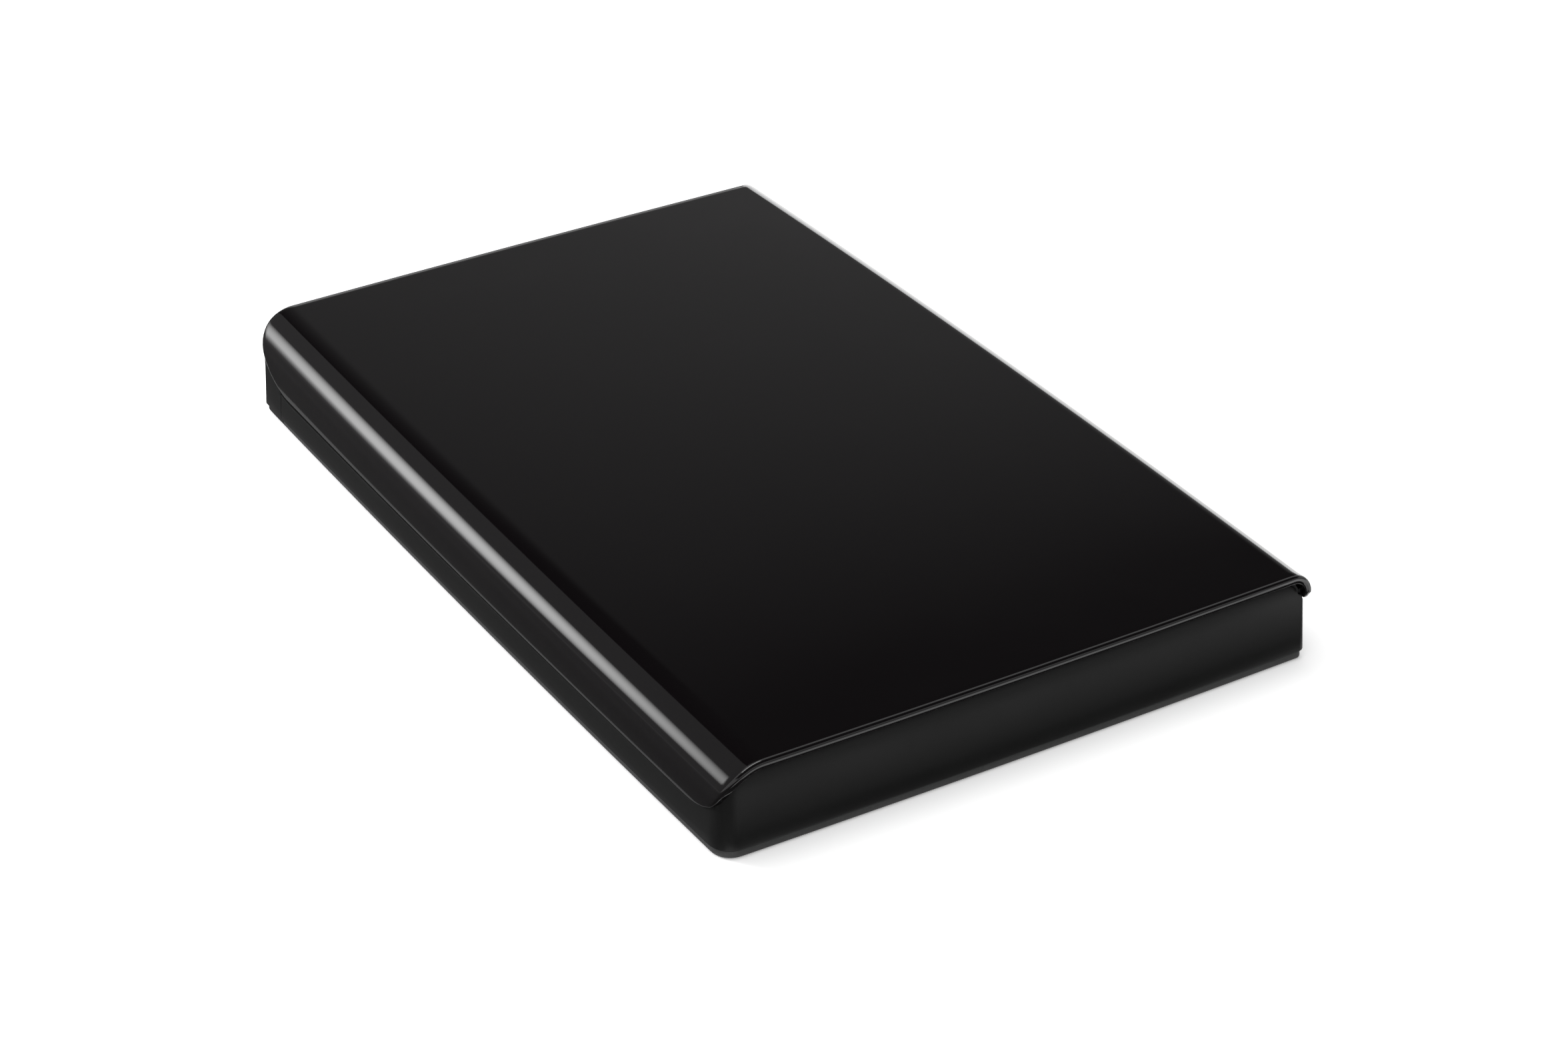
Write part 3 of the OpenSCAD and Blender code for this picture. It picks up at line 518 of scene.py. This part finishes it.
def stations(f, rear_left_r=None):
    """Outline of the walls: x, y, outward normal x and y, and corner radius at each station"""
    def side(s, y):
        n = Vector((s, 8 * f.bow(s) * y / f.case_l ** 2)).normalized()
        return (s * f.half_w(s, y), y, n.x, n.y, f.case_w)

    def end(s, x):
        n = Vector((8 * f.end_bow * x / f.case_w ** 2, s)).normalized()
        return (x, s * (f.half_l(x) - f.end_inset), n.x, n.y, f.case_w)

    def corner_at(s, r):
        """Centre of an upright corner, for the quarter where y is above 0"""
        x = f.half_w(s, f.case_l / 2 - r) - r
        return x, f.half_l(x) - f.end_inset - r

    def corner(sx, sy, a):
        r = f.right_r if sx > 0 else rear_left_r if rear_left_r and sy > 0 else f.left_r
        x, y = corner_at(sx, r)
        c, d = math.cos(a), math.sin(a)
        return (sx * (x + r * c), sy * (y + r * d), sx * c, sy * d, r)

    left_x, left_y = corner_at(-1, f.left_r)
    right_y = corner_at(1, f.right_r)[1]
    # The end walls' stations stand closer where the cover's two rolls run over them
    roll_x = -f.case_w / 2 + f.roll_r + 0.2
    edge_x = f.half_w(1, f.case_l / 2) - f.edge_r
    ends = ([mix(-left_x, roll_x, i / 8) for i in range(1, 8)]
            + [mix(roll_x, edge_x, i / 12) for i in range(12)]
            + [edge_x + (f.edge_r - f.cover_t - GAP) * math.sin(math.radians(a))
               for a in (0, 18, 36, 54, 72, 88)])
    quarter = [math.pi / 2 * i / 10 for i in range(11)]
    # The left side's stand closer under the skirt's rounded end corners
    near = [0.4, 0.8, 1.3, 1.8, 2.5, 3.2, 4.1, 5, 7]
    left = ([left_y - d for d in near]
            + [mix(left_y - 7, 7 - left_y, i / 16) for i in range(1, 16)]
            + [d - left_y for d in reversed(near)])
    right = [mix(right_y, -right_y, i / 18) for i in range(1, 18)]
    return ([side(-1, y) for y in left] + [corner(-1, -1, a) for a in quarter]
            + [end(-1, x) for x in ends] + [corner(1, -1, a) for a in reversed(quarter)]
            + [side(1, y) for y in reversed(right)] + [corner(1, 1, a) for a in quarter]
            + [end(1, x) for x in reversed(ends)] + [corner(-1, 1, a) for a in reversed(quarter)])


def inward(st, o, z):
    """A station's point moved in by o; a corner closes to 0.3 mm, then its centre moves in"""
    x, y, nx, ny, r = st
    rest = max(0, o - r + 0.3)
    return (x - (o - rest) * nx - math.copysign(rest, x),
            y - (o - rest) * ny - math.copysign(rest, y), z)


def ringed(name, rings, close=False):
    """A circle set out on the first ring and extruded from ring to ring

    It is a solid, or with close a wall whose last ring is bridged to its first.
    """
    piece = started(name, bpy.ops.mesh.primitive_circle_add, vertices=len(rings[0]), radius=1,
                    fill_type="NOTHING" if close else "NGON")
    extrude = bpy.ops.mesh.extrude_edges_move if close else bpy.ops.mesh.extrude_region_move
    bm = bmesh.from_edit_mesh(piece.data)
    order = bm.verts.layers.int.new("station")
    bm.verts.ensure_lookup_table()
    for i, v in enumerate(bm.verts):
        v[order] = i
        v.co = Vector(rings[0][i]) * MM
    bmesh.update_edit_mesh(piece.data)
    bpy.ops.mesh.select_all(action="SELECT")
    for ring in rings[1:]:
        extrude()
        bm = bmesh.from_edit_mesh(piece.data)
        order = bm.verts.layers.int["station"]
        for v in bm.verts:
            if v.select:
                v.co = Vector(ring[v[order]]) * MM
        bmesh.update_edit_mesh(piece.data)
    if close:
        pick(piece, "edges", lambda e: e.is_boundary)
        bpy.ops.mesh.bridge_edge_loops()
    bpy.ops.object.mode_set(mode="OBJECT")
    return piece


def wall_section(f, st, foot):
    """Points of the wall at a station: inner foot, outer face, step under the cover, roof

    The foot is a list of how far in and how high its outer points are.
    """
    at_y, nx = st[1:3]
    left, sideways = nx < 0, nx ** 2

    def roof(p):
        """The point of the roof, which stays clear of the cover's inner face, above p"""
        x, y = p[0], p[1]
        top, depth = f.top_z(y), f.cover_t + GAP
        past_left, past_right = f.roll_r - f.half_w(-1, y) - x, x - f.half_w(1, y) + f.edge_r
        for past, radius in ((past_left, f.roll_r), (past_right, f.edge_r)):
            if past > 0:
                return (x, y, top - radius
                        + math.sqrt(max(0, (radius - depth) ** 2 - past * past)))
        return (x, y, top - depth)

    def ledge(o):
        """Height of the step under the cover's edge, above a point moved in by o"""
        p = inward(st, o, 0)
        cut = max(0, f.half_l(p[0]) - abs(p[1]))
        edge = (f.skirt_z + corner_cut(cut, f.skirt_corner_r) if left
                else f.top_z(at_y) - f.lip_drop + corner_cut(cut, f.lip_corner_r)) - GAP
        # Only the end walls' step keeps close under the roof
        return edge if sideways > 0.3 else max(edge, roof(st)[2] - END_LEDGE_DROP)

    lean = mix(END_LEAN, LEFT_LEAN if left else RIGHT_LEAN, sideways)
    inner = mix(END_WALL_T, f.half_w(nx, at_y) - CLEAR_HALF_W, sideways)
    ledge_z = ledge(lean * (ledge(0) - f.base_t))

    def outer(z):
        """How far in the outer face is at a height"""
        return (lean * max(0, z - f.base_t)
                + CURVE_DEPTH * max(0, (z - f.top_z(at_y) + CURVE_START) / CURVE_REACH) ** 2)

    low, high = foot[-1][1] + 0.1, ledge_z - LEDGE_R
    face = [mix(low, high, share) for share in (0, 0.25, 0.5, 0.7, 0.78, 0.86, 0.93, 1)]
    out = outer(ledge_z)
    step = max(mix(END_STEP, LEFT_STEP if left else RIGHT_STEP, sideways), out + LEAST_STEP)
    return ([inward(st, inner, foot[0][1])] + [inward(st, o, z) for o, z in foot]
            + [inward(st, outer(z), z) for z in face]
            + [inward(st, out + LEDGE_R / 4, ledge_z - LEDGE_R / 4),
               inward(st, out + LEDGE_R, ledge_z), inward(st, step, ledge_z),
               roof(inward(st, step, 0)), roof(inward(st, (inner + step) / 2, 0)),
               roof(inward(st, inner, 0))])


def wall_rings(f, foot, rear_left_r=None):
    """The walls' rings: the same point of the section at every station"""
    return list(zip(*(wall_section(f, st, foot) for st in stations(f, rear_left_r))))


def keep_side(piece, y, keep_rear):
    """Cuts a closed piece at y and keeps one side of it"""
    choose(piece)
    open_whole()
    bpy.ops.mesh.bisect(plane_co=(0, y * MM, 0), plane_no=(0, 1, 0), use_fill=True,
                        clear_inner=keep_rear, clear_outer=not keep_rear)
    bpy.ops.object.mode_set(mode="OBJECT")


class DRIVE_OT_frame(DriveOperator, bpy.types.Operator):
    """Raises the drafted wall round the case and parts it at the seam"""
    bl_idname = "drive.frame"
    bl_label = "Frame and end cap"

    def execute(self, context):
        f = Form()
        seam_y = f.case_l / 2 - f.seam
        material = satin_abs()
        foot = [(FOOT_IN, f.base_t), (FOOT_FACE_IN, f.base_t + FOOT_H)]
        walls = ringed("frame_wall", wall_rings(f, foot), close=True)
        keep_side(walls, seam_y - SEAM_GAP / 2, keep_rear=False)
        finish_piece(walls, material, ["frame"])
        # The end cap reaches the table, with the base plate's step and rounding
        step, r = f.base_inset, f.base_edge_r
        cap_foot = [(step + r, 0), (step + 0.3 * r, 0.3 * r), (step, r), (step, f.base_t), *foot]
        cap = ringed("port_end_wall", wall_rings(f, cap_foot, f.cap_left_r), close=True)
        keep_side(cap, seam_y + SEAM_GAP / 2, keep_rear=True)
        cut_port(cap)
        finish_piece(cap, material, ["port_end_cap"])
        return {"FINISHED"}


def cube_cutter(low, high, corner=0):
    """A box between two corners in millimetres, its edges along Y rounded"""
    low, high = Vector(low) * MM, Vector(high) * MM
    cutter = started("cutter", bpy.ops.mesh.primitive_cube_add, size=1, location=(low + high) / 2,
                     scale=high - low)
    if corner:
        pick(cutter, "edges", lambda e: abs((e.verts[0].co - e.verts[1].co).normalized().y) > 0.9)
        bpy.ops.mesh.bevel(offset=corner * MM, segments=6)
    return cutter


def cut_away(piece, cutters):
    """Takes the cutters' volumes out of a piece"""
    choose(piece)
    for cutter in cutters:
        m = add_modifier(piece, "BOOLEAN", operation="DIFFERENCE", solver="EXACT", object=cutter)
        bpy.ops.object.modifier_apply(modifier=m.name)
    for cutter in cutters:
        bpy.data.objects.remove(cutter)


def cut_port(cap):
    """Cuts the port's opening, the shallow recess round it and the light pipe's hole"""
    low, high = (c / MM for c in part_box("usb_shell"))
    cutters = [cube_cutter((low.x - room, y, low.z - room),
                           (high.x + room, PAST_END, high.z + room), corner)
               for room, y, corner in PORT_CUTS]
    pipe_low, pipe_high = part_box("light_pipe")
    pipe = (pipe_low + pipe_high) / 2
    hole_l = 6
    clear_selection()
    bpy.ops.mesh.primitive_cylinder_add(vertices=32, radius=PIPE_HOLE_R * MM, depth=hole_l * MM,
                                        location=(pipe.x, (PAST_END - hole_l / 2) * MM, pipe.z),
                                        rotation=(math.pi / 2, 0, 0))
    bpy.ops.object.transform_apply(location=True, rotation=True, scale=True)
    cut_away(cap, cutters + [bpy.context.object])


class DRIVE_OT_base(DriveOperator, bpy.types.Operator):
    """Extrudes the base plate ring by ring with a rounded lower edge"""
    bl_idname = "drive.base"
    bl_label = "Base plate"

    def execute(self, context):
        f = Form()
        # The edge's rounding, then the groove above it: how far in and how high
        quarter = [math.pi / 2 * i / 6 for i in range(7)]
        section = [(f.base_inset + f.base_edge_r * (1 - math.sin(a)),
                    f.base_edge_r * (1 - math.cos(a))) for a in quarter]
        groove_z, groove_in = f.base_t - GROOVE_H, f.base_inset + GROOVE_IN
        section += [(f.base_inset, groove_z), (groove_in, groove_z), (groove_in, f.base_t)]
        outline = stations(f)
        piece = ringed("base_plate_shell", [[inward(st, o, z) for st in outline]
                                            for o, z in section])
        # Room for the end cap, whose walls stand round the plate's tongue; the cutters overlap,
        # and no two of their faces coincide
        seam_y = f.case_l / 2 - f.seam - SEAM_GAP / 2
        past_side, below, above = 40, -1, 2
        cut_away(piece, [cube_cutter((-past_side, seam_y, below),
                                     (-TONGUE_HALF_W, PAST_END - 1, above)),
                         cube_cutter((TONGUE_HALF_W, seam_y, below),
                                     (past_side, PAST_END - 1, above)),
                         cube_cutter((-past_side - 1, TONGUE_END, below),
                                     (past_side + 1, PAST_END, above))])
        finish_piece(piece, spark_abs(), ["base_plate"])
        return {"FINISHED"}


class DRIVE_OT_inner(DriveOperator, bpy.types.Operator):
    """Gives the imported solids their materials"""
    bl_idname = "drive.inner"
    bl_label = "Inner pieces"

    def execute(self, context):
        makers = inner_materials()
        slots = {s["node"]: s["material_slot"] for s in frame["record"]["subparts"]}
        made = {}
        for node, obj in frame["nodes"].items():
            slot = slots[node]
            if slot not in made:
                made[slot] = makers[slot]()
            obj.data.materials.clear()
            obj.data.materials.append(made[slot])
        return {"FINISHED"}


def inner_materials():
    """What makes the material of each slot, with what that finish gives the eye"""
    def plastic(name, code, rough, grain=0.2, depth=0.004, ior=1.5, **shader):
        return lambda: moulded(name, hex_colour(code), rough, ior, grain, depth, mottle=0.08,
                               **shader)

    return {
        "gloss_abs": gloss_abs,
        "satin_abs": satin_abs,
        "textured_abs": spark_abs,
        # Pale grey with a soft shine
        "screw_steel": lambda: metal("Zinc-plated steel", hex_colour("B4B6BA"), 0.32, 0.3),
        # Silvery and dull, from the blasted dimples
        "drive_alloy": lambda: metal("Blasted aluminium", hex_colour("C9CACC"), 0.45, 0.15),
        # Dark, with the faint orange peel of baked powder
        "lid_paint": plastic("Dark grey powder paint", "303134", 0.5, 0.3, 0.01),
        # Deep green varnish, smooth enough to glint
        "board_laminate": plastic("Green solder mask", "1B5A38", 0.3, 0.6, 0.002),
        # Matt near-black, pressed with fine filler
        "chip_epoxy": plastic("Black moulding compound", "1E1F22", 0.6, 0.1, 0.003),
        # Chalky tan, as fired
        "ceramic": plastic("Fired ceramic", "A88A66", 0.5),
        # Black with the dull skin that glass fibre leaves
        "connector_lcp": plastic("Glass-filled black plastic", "141416", 0.45, 0.15, 0.004),
        # Warm yellow, bright
        "contact_gold": lambda: metal("Gold plating", hex_colour("E6B655"), 0.22, 0.1, 0.05),
        # Soft grey-blue putty without a shine
        "thermal_gel": plastic("Filled silicone", "8FA3B2", 0.7, 0.4, 0.01, 1.41),
        # Slightly yellow, polished by the press
        "crystal_can": lambda: metal("Nickel-plated can", hex_colour("C6C3BC"), 0.25, 0.2),
        # Dark grey sintered grain
        "ferrite": plastic("Ferrite", "3A3B3E", 0.7, 0.1, 0.006),
        # Bright, nearly white
        "shell_steel": lambda: metal("Tin-plated steel", hex_colour("D2D3D5"), 0.2, 0.25, 0.06),
        # Milky, smooth from the mould
        "lamp_resin": plastic("Milky lamp resin", "DCE2E8", 0.3),
        # Clear, with a frosted end that spreads the light
        "pipe_acrylic": plastic("Frosted acrylic", "E4EAF0", 0.25, 0.3, 0.003, 1.49,
                                **{"Transmission Weight": 0.75}),
        # Black and lightless, with fine cells
        "foam": plastic("Closed-cell foam", "26272A", 0.9, 0.25, 0.03),
        # Dull black from the mould
        "bumper_rubber": plastic("Black rubber", "1A1A1B", 0.75, 0.2, 0.01),
        # Amber sheet, rolled smooth
        "film": plastic("Polyimide film", "B98A2E", 0.25, 2.0, 0.001),
    }


# Stage

# Camera as fitted to the photograph: place in millimetres, its right, down and forward axes,
# focal length and principal point in pixels of a 2352 x 1568 frame
CAMERA_PLACE = (-170.616, -308.208, 201.555)
CAMERA_RIGHT = (0.878025, -0.476499, -0.044954)
CAMERA_DOWN = (-0.268174, -0.411999, -0.870827)
CAMERA_FORWARD = (0.396427, 0.776663, -0.489530)
FRAME_PIXELS = (2352, 1568)
FOCAL_PIXELS = 5114.95
PRINCIPAL_PIXEL = (968.42, 751.38)


class DRIVE_OT_stage(DriveOperator, bpy.types.Operator):
    """Sets the table, the studio light and the camera"""
    bl_idname = "drive.stage"
    bl_label = "Studio"

    def execute(self, context):
        make_camera()
        make_table()
        make_world()
        make_lights()
        context.scene.view_settings.view_transform = "Standard"
        return {"FINISHED"}


def make_camera():
    """A camera with the photograph's view, whose frame is wider than the object"""
    data = bpy.data.cameras.new("camera")
    data.sensor_width = 36
    data.lens = FOCAL_PIXELS * data.sensor_width / FRAME_PIXELS[0]
    data.shift_x = (FRAME_PIXELS[0] / 2 - PRINCIPAL_PIXEL[0]) / FRAME_PIXELS[0]
    data.shift_y = (PRINCIPAL_PIXEL[1] - FRAME_PIXELS[1] / 2) / FRAME_PIXELS[0]
    data.clip_start, data.clip_end = 0.01, 20
    camera = bpy.data.objects.new("camera", data)
    bpy.context.scene.collection.objects.link(camera)
    right, up, back = CAMERA_RIGHT, [-c for c in CAMERA_DOWN], [-c for c in CAMERA_FORWARD]
    turn = Matrix((right, up, back)).transposed()
    camera.matrix_world = Matrix.Translation(Vector(CAMERA_PLACE) * MM) @ turn.to_4x4()
    bpy.context.scene.camera = camera


def background_rays(tree):
    """1 for the rays that should see the white background, 0 for the rest"""
    rays = add_node(tree, "ShaderNodeLightPath")
    seen = rays.outputs["Is Camera Ray"]
    for name in ("Is Glossy Ray", "Is Transmission Ray"):
        seen = add_node(tree, "ShaderNodeMath", {"operation": "MAXIMUM"},
                        {0: seen, 1: rays.outputs[name]}).outputs[0]
    return seen


def make_table():
    """A wide pale table that takes the object's shadow and shows nearly white"""
    clear_selection()
    bpy.ops.mesh.primitive_plane_add(size=12)
    table = bpy.context.object
    table.name = "table"
    m = blank_material("Matt white card")
    t = m.node_tree
    card = add_node(t, "ShaderNodeBsdfDiffuse", {"Color": hex_colour("F2F2F2")})
    glow_level = 0.3  # brings the table near white for the rays that see the background
    share = add_node(t, "ShaderNodeMath", {"operation": "MULTIPLY", 1: glow_level},
                     {0: background_rays(t)})
    glow = add_node(t, "ShaderNodeEmission", {"Color": (1, 1, 1, 1)},
                    {"Strength": share.outputs[0]})
    both = add_node(t, "ShaderNodeAddShader", links={0: card.outputs[0], 1: glow.outputs[0]})
    add_node(t, "ShaderNodeOutputMaterial", links={"Surface": both.outputs[0]})
    table.data.materials.append(m)


def make_world():
    """Soft light from all round, which shows as white"""
    world = bpy.data.worlds.new("studio")
    world.use_nodes = True
    t = world.node_tree
    t.nodes.clear()
    soft = add_node(t, "ShaderNodeBackground", {"Color": (1, 1, 1, 1), "Strength": 0.35})
    white = add_node(t, "ShaderNodeBackground", {"Color": (1, 1, 1, 1), "Strength": 1.0})
    both = add_node(t, "ShaderNodeMixShader",
                    links={0: background_rays(t), 1: soft.outputs[0], 2: white.outputs[0]})
    add_node(t, "ShaderNodeOutputWorld", links={"Surface": both.outputs[0]})
    bpy.context.scene.world = world


def soft_box(name, place, turn, size, power):
    """A rectangular studio lamp: place and size in metres, turn in degrees, power in watts"""
    data = bpy.data.lights.new(name, "AREA")
    data.shape = "RECTANGLE"
    data.size, data.size_y = size
    data.energy = power
    lamp = bpy.data.objects.new(name, data)
    bpy.context.scene.collection.objects.link(lamp)
    lamp.location = place
    lamp.rotation_euler = [math.radians(a) for a in turn]
    lamp.visible_camera = False
    return lamp


def card(name, corners, level):
    """A card that only reflections see; level makes its brightness from its coordinates

    The corners are low left, low right, high left, high right; a card on the table runs along Y.
    """
    clear_selection()
    bpy.ops.mesh.primitive_plane_add(size=1)
    obj = bpy.context.object
    obj.name = name
    for v, co in zip(obj.data.vertices, corners):
        v.co = co
    m = blank_material(name)
    t = m.node_tree
    coords = add_node(t, "ShaderNodeTexCoord").outputs["Object"]
    glow = add_node(t, "ShaderNodeEmission", {"Color": (1, 1, 1, 1)},
                    {"Strength": level(t, coords, corners)})
    add_node(t, "ShaderNodeOutputMaterial", links={"Surface": glow.outputs[0]})
    obj.data.materials.append(m)
    obj.visible_camera = obj.visible_diffuse = obj.visible_shadow = False


def graded(low_left, low_right, high_left, high_right):
    """Brightness that runs evenly between the four corners"""
    def level(t, coords, corners):
        up = 2 if corners[0][2] != corners[2][2] else 1
        place = add_node(t, "ShaderNodeSeparateXYZ", links={0: coords})
        left, right = min(c[0] for c in corners), max(c[0] for c in corners)
        low, high = (add_node(t, "ShaderNodeMapRange",
                              {"From Min": left, "From Max": right, "To Min": a, "To Max": b},
                              {"Value": place.outputs["X"]}).outputs["Result"]
                     for a, b in ((low_left, low_right), (high_left, high_right)))
        return add_node(t, "ShaderNodeMapRange",
                        {"From Min": corners[0][up], "From Max": corners[2][up]},
                        {"Value": place.outputs["XYZ"[up]], "To Min": low, "To Max": high}
                        ).outputs["Result"]
    return level


def hot_spot(base, peak, centre, turn, reach_along, reach_across):
    """A tilted spot of brightness that falls off along, across and near the table to the base"""
    def level(t, coords, corners):
        from_centre = add_node(t, "ShaderNodeVectorMath", {"operation": "SUBTRACT", 1: centre},
                               {0: coords}).outputs[0]
        a = math.radians(turn)
        z = add_node(t, "ShaderNodeSeparateXYZ", links={0: coords}).outputs["Z"]
        fade_start, fade_end = 0.008, 0.112
        share = add_node(t, "ShaderNodeMapRange",
                         {"From Min": fade_start, "From Max": fade_end,
                          "To Min": 0, "To Max": peak}, {"Value": z}).outputs["Result"]
        for way, reach in (((math.cos(a), 0, -math.sin(a)), reach_along),
                           ((math.sin(a), 0, math.cos(a)), reach_across)):
            d = add_node(t, "ShaderNodeVectorMath",
                         {"operation": "DOT_PRODUCT", 1: [c / reach for c in way]},
                         {0: from_centre}).outputs["Value"]
            square = add_node(t, "ShaderNodeMath", {"operation": "MULTIPLY"}, {0: d, 1: d})
            fall = add_node(t, "ShaderNodeMath",
                            {"operation": "SUBTRACT", 0: 1.0, "use_clamp": True},
                            {1: square.outputs[0]})
            share = add_node(t, "ShaderNodeMath", {"operation": "MULTIPLY"},
                             {0: share, 1: fall.outputs[0]}).outputs[0]
        return add_node(t, "ShaderNodeMath", {"operation": "ADD", 1: base}, {0: share}).outputs[0]
    return level


def wall_card(name, left, right, low, high, level, y=0.6, skew=0.0):
    """An upright card that faces along Y; skew moves its left edge at the top

    Of two behind the object, the nearer one, with the smaller y, covers the other.
    """
    card(name, [(left, y, low), (right, y, low), (left + skew, y, high), (right, y, high)], level)


def table_card(name, left, right, near, far, level):
    """A card that lies just over the table"""
    z = 0.0004
    card(name, [(left, near, z), (right, near, z), (left, far, z), (right, far, z)], level)


def even(level):
    """The same brightness all over a card"""
    return graded(level, level, level, level)


def make_lights():
    """Two soft boxes, and the cards that the gloss mirrors round the case"""
    soft_box("overhead", (-0.15, -0.1, 1.1), (5.2, -7.8, 0), (0.9, 0.9), 9)
    side = soft_box("side", (-0.47, 0.6, 0.21), (-90, 30, 0), (0.34, 0.21), 11)
    side.visible_glossy = False
    # The side box as the large roll mirrors it, a bright stripe, and the dim wall round it
    wall_card("tilted_box", -0.78, -0.18, 0, 0.65,
              hot_spot(0.25, 6.6, (-0.488, 0.6, 0.212), 37, 0.262, 0.153))
    wall_card("dim_card", -1.2, -0.04, 0, 0.9, even(0.25), y=0.61)
    # What the flat top mirrors, fading upward; its left edge shows as the crease beside the roll
    wall_card("dark_card", -0.07, 0.9, 0.27, 0.53, graded(0, 0.65, 0, 0.05), y=0.599, skew=-0.039)
    wall_card("black_card", -0.109, 0.9, 0.53, 0.9, graded(0, 0.05, 0, 0.05), y=0.599, skew=-0.055)
    # Bright ones low behind and beside the case for the small roll
    wall_card("white_card", 0.33, 1.2, 0, 0.27, even(3), y=0.605)
    table_card("white_table", 0.05, 0.25, -0.05, 0.25, even(2.5))
    # Dark cards on the table beside the walls, with a lighter strip in front for the rim
    table_card("left_edge", -0.0385, -0.0367, -0.3, 0.6, even(0.25))
    table_card("left_near", -0.055, -0.0385, -0.3, 0.6, graded(0.14, 0.06, 0.17, 0.07))
    table_card("left_far", -1.2, -0.055, -0.3, 0.6, graded(0.7, 0.14, 0.9, 0.17))
    table_card("front_near", -0.0367, 0.3, -0.067, -0.0598, even(0.06))
    table_card("front_strip", -0.0367, 0.042, -0.0725, -0.067, even(1.5))
    table_card("front_grey", -0.0367, 0.042, -0.08, -0.0725, even(0.4))
    table_card("front_right", 0.042, 0.3, -0.08, -0.067, even(2))
    table_card("front_far", -0.0367, 0.3, -0.6, -0.08, even(0.5))
    # Dark surroundings in front of and above the case, mirrored by the upper edge of the rim
    ceiling = [(x, y, 0.6) for y in (-1, -0.1) for x in (-0.8, 1.2)]
    card("dark_ceiling", ceiling, even(0.05))
    wall_card("dark_front", -0.8, 1.2, 0.2, 0.6, even(0.08), y=-1)


# Panel and registration

STEPS = [DRIVE_OT_stage, DRIVE_OT_cover, DRIVE_OT_frame, DRIVE_OT_base, DRIVE_OT_inner]


class DRIVE_PT_panel(bpy.types.Panel):
    """Lists the steps that build the drive"""
    bl_label = "Portable drive"
    bl_idname = "DRIVE_PT_panel"
    bl_space_type = "VIEW_3D"
    bl_region_type = "UI"
    bl_category = "Drive"

    def draw(self, context):
        for step in STEPS:
            self.layout.operator(step.bl_idname)
        for group in (context.scene.drive_sizes, context.scene.drive_colours):
            for key in type(group).__annotations__:
                self.layout.prop(group, key)


CLASSES = [CaseSizes, CaseColours, *STEPS, DRIVE_PT_panel]


def register():
    for c in CLASSES:
        bpy.utils.register_class(c)
    bpy.types.Scene.drive_sizes = PointerProperty(type=CaseSizes)
    bpy.types.Scene.drive_colours = PointerProperty(type=CaseColours)


def unregister():
    del bpy.types.Scene.drive_colours
    del bpy.types.Scene.drive_sizes
    for c in reversed(CLASSES):
        bpy.utils.unregister_class(c)


def main():
    register()
    for step in STEPS:
        group, name = step.bl_idname.split(".")
        getattr(getattr(bpy.ops, group), name)()


if __name__ == "__main__":
    main()
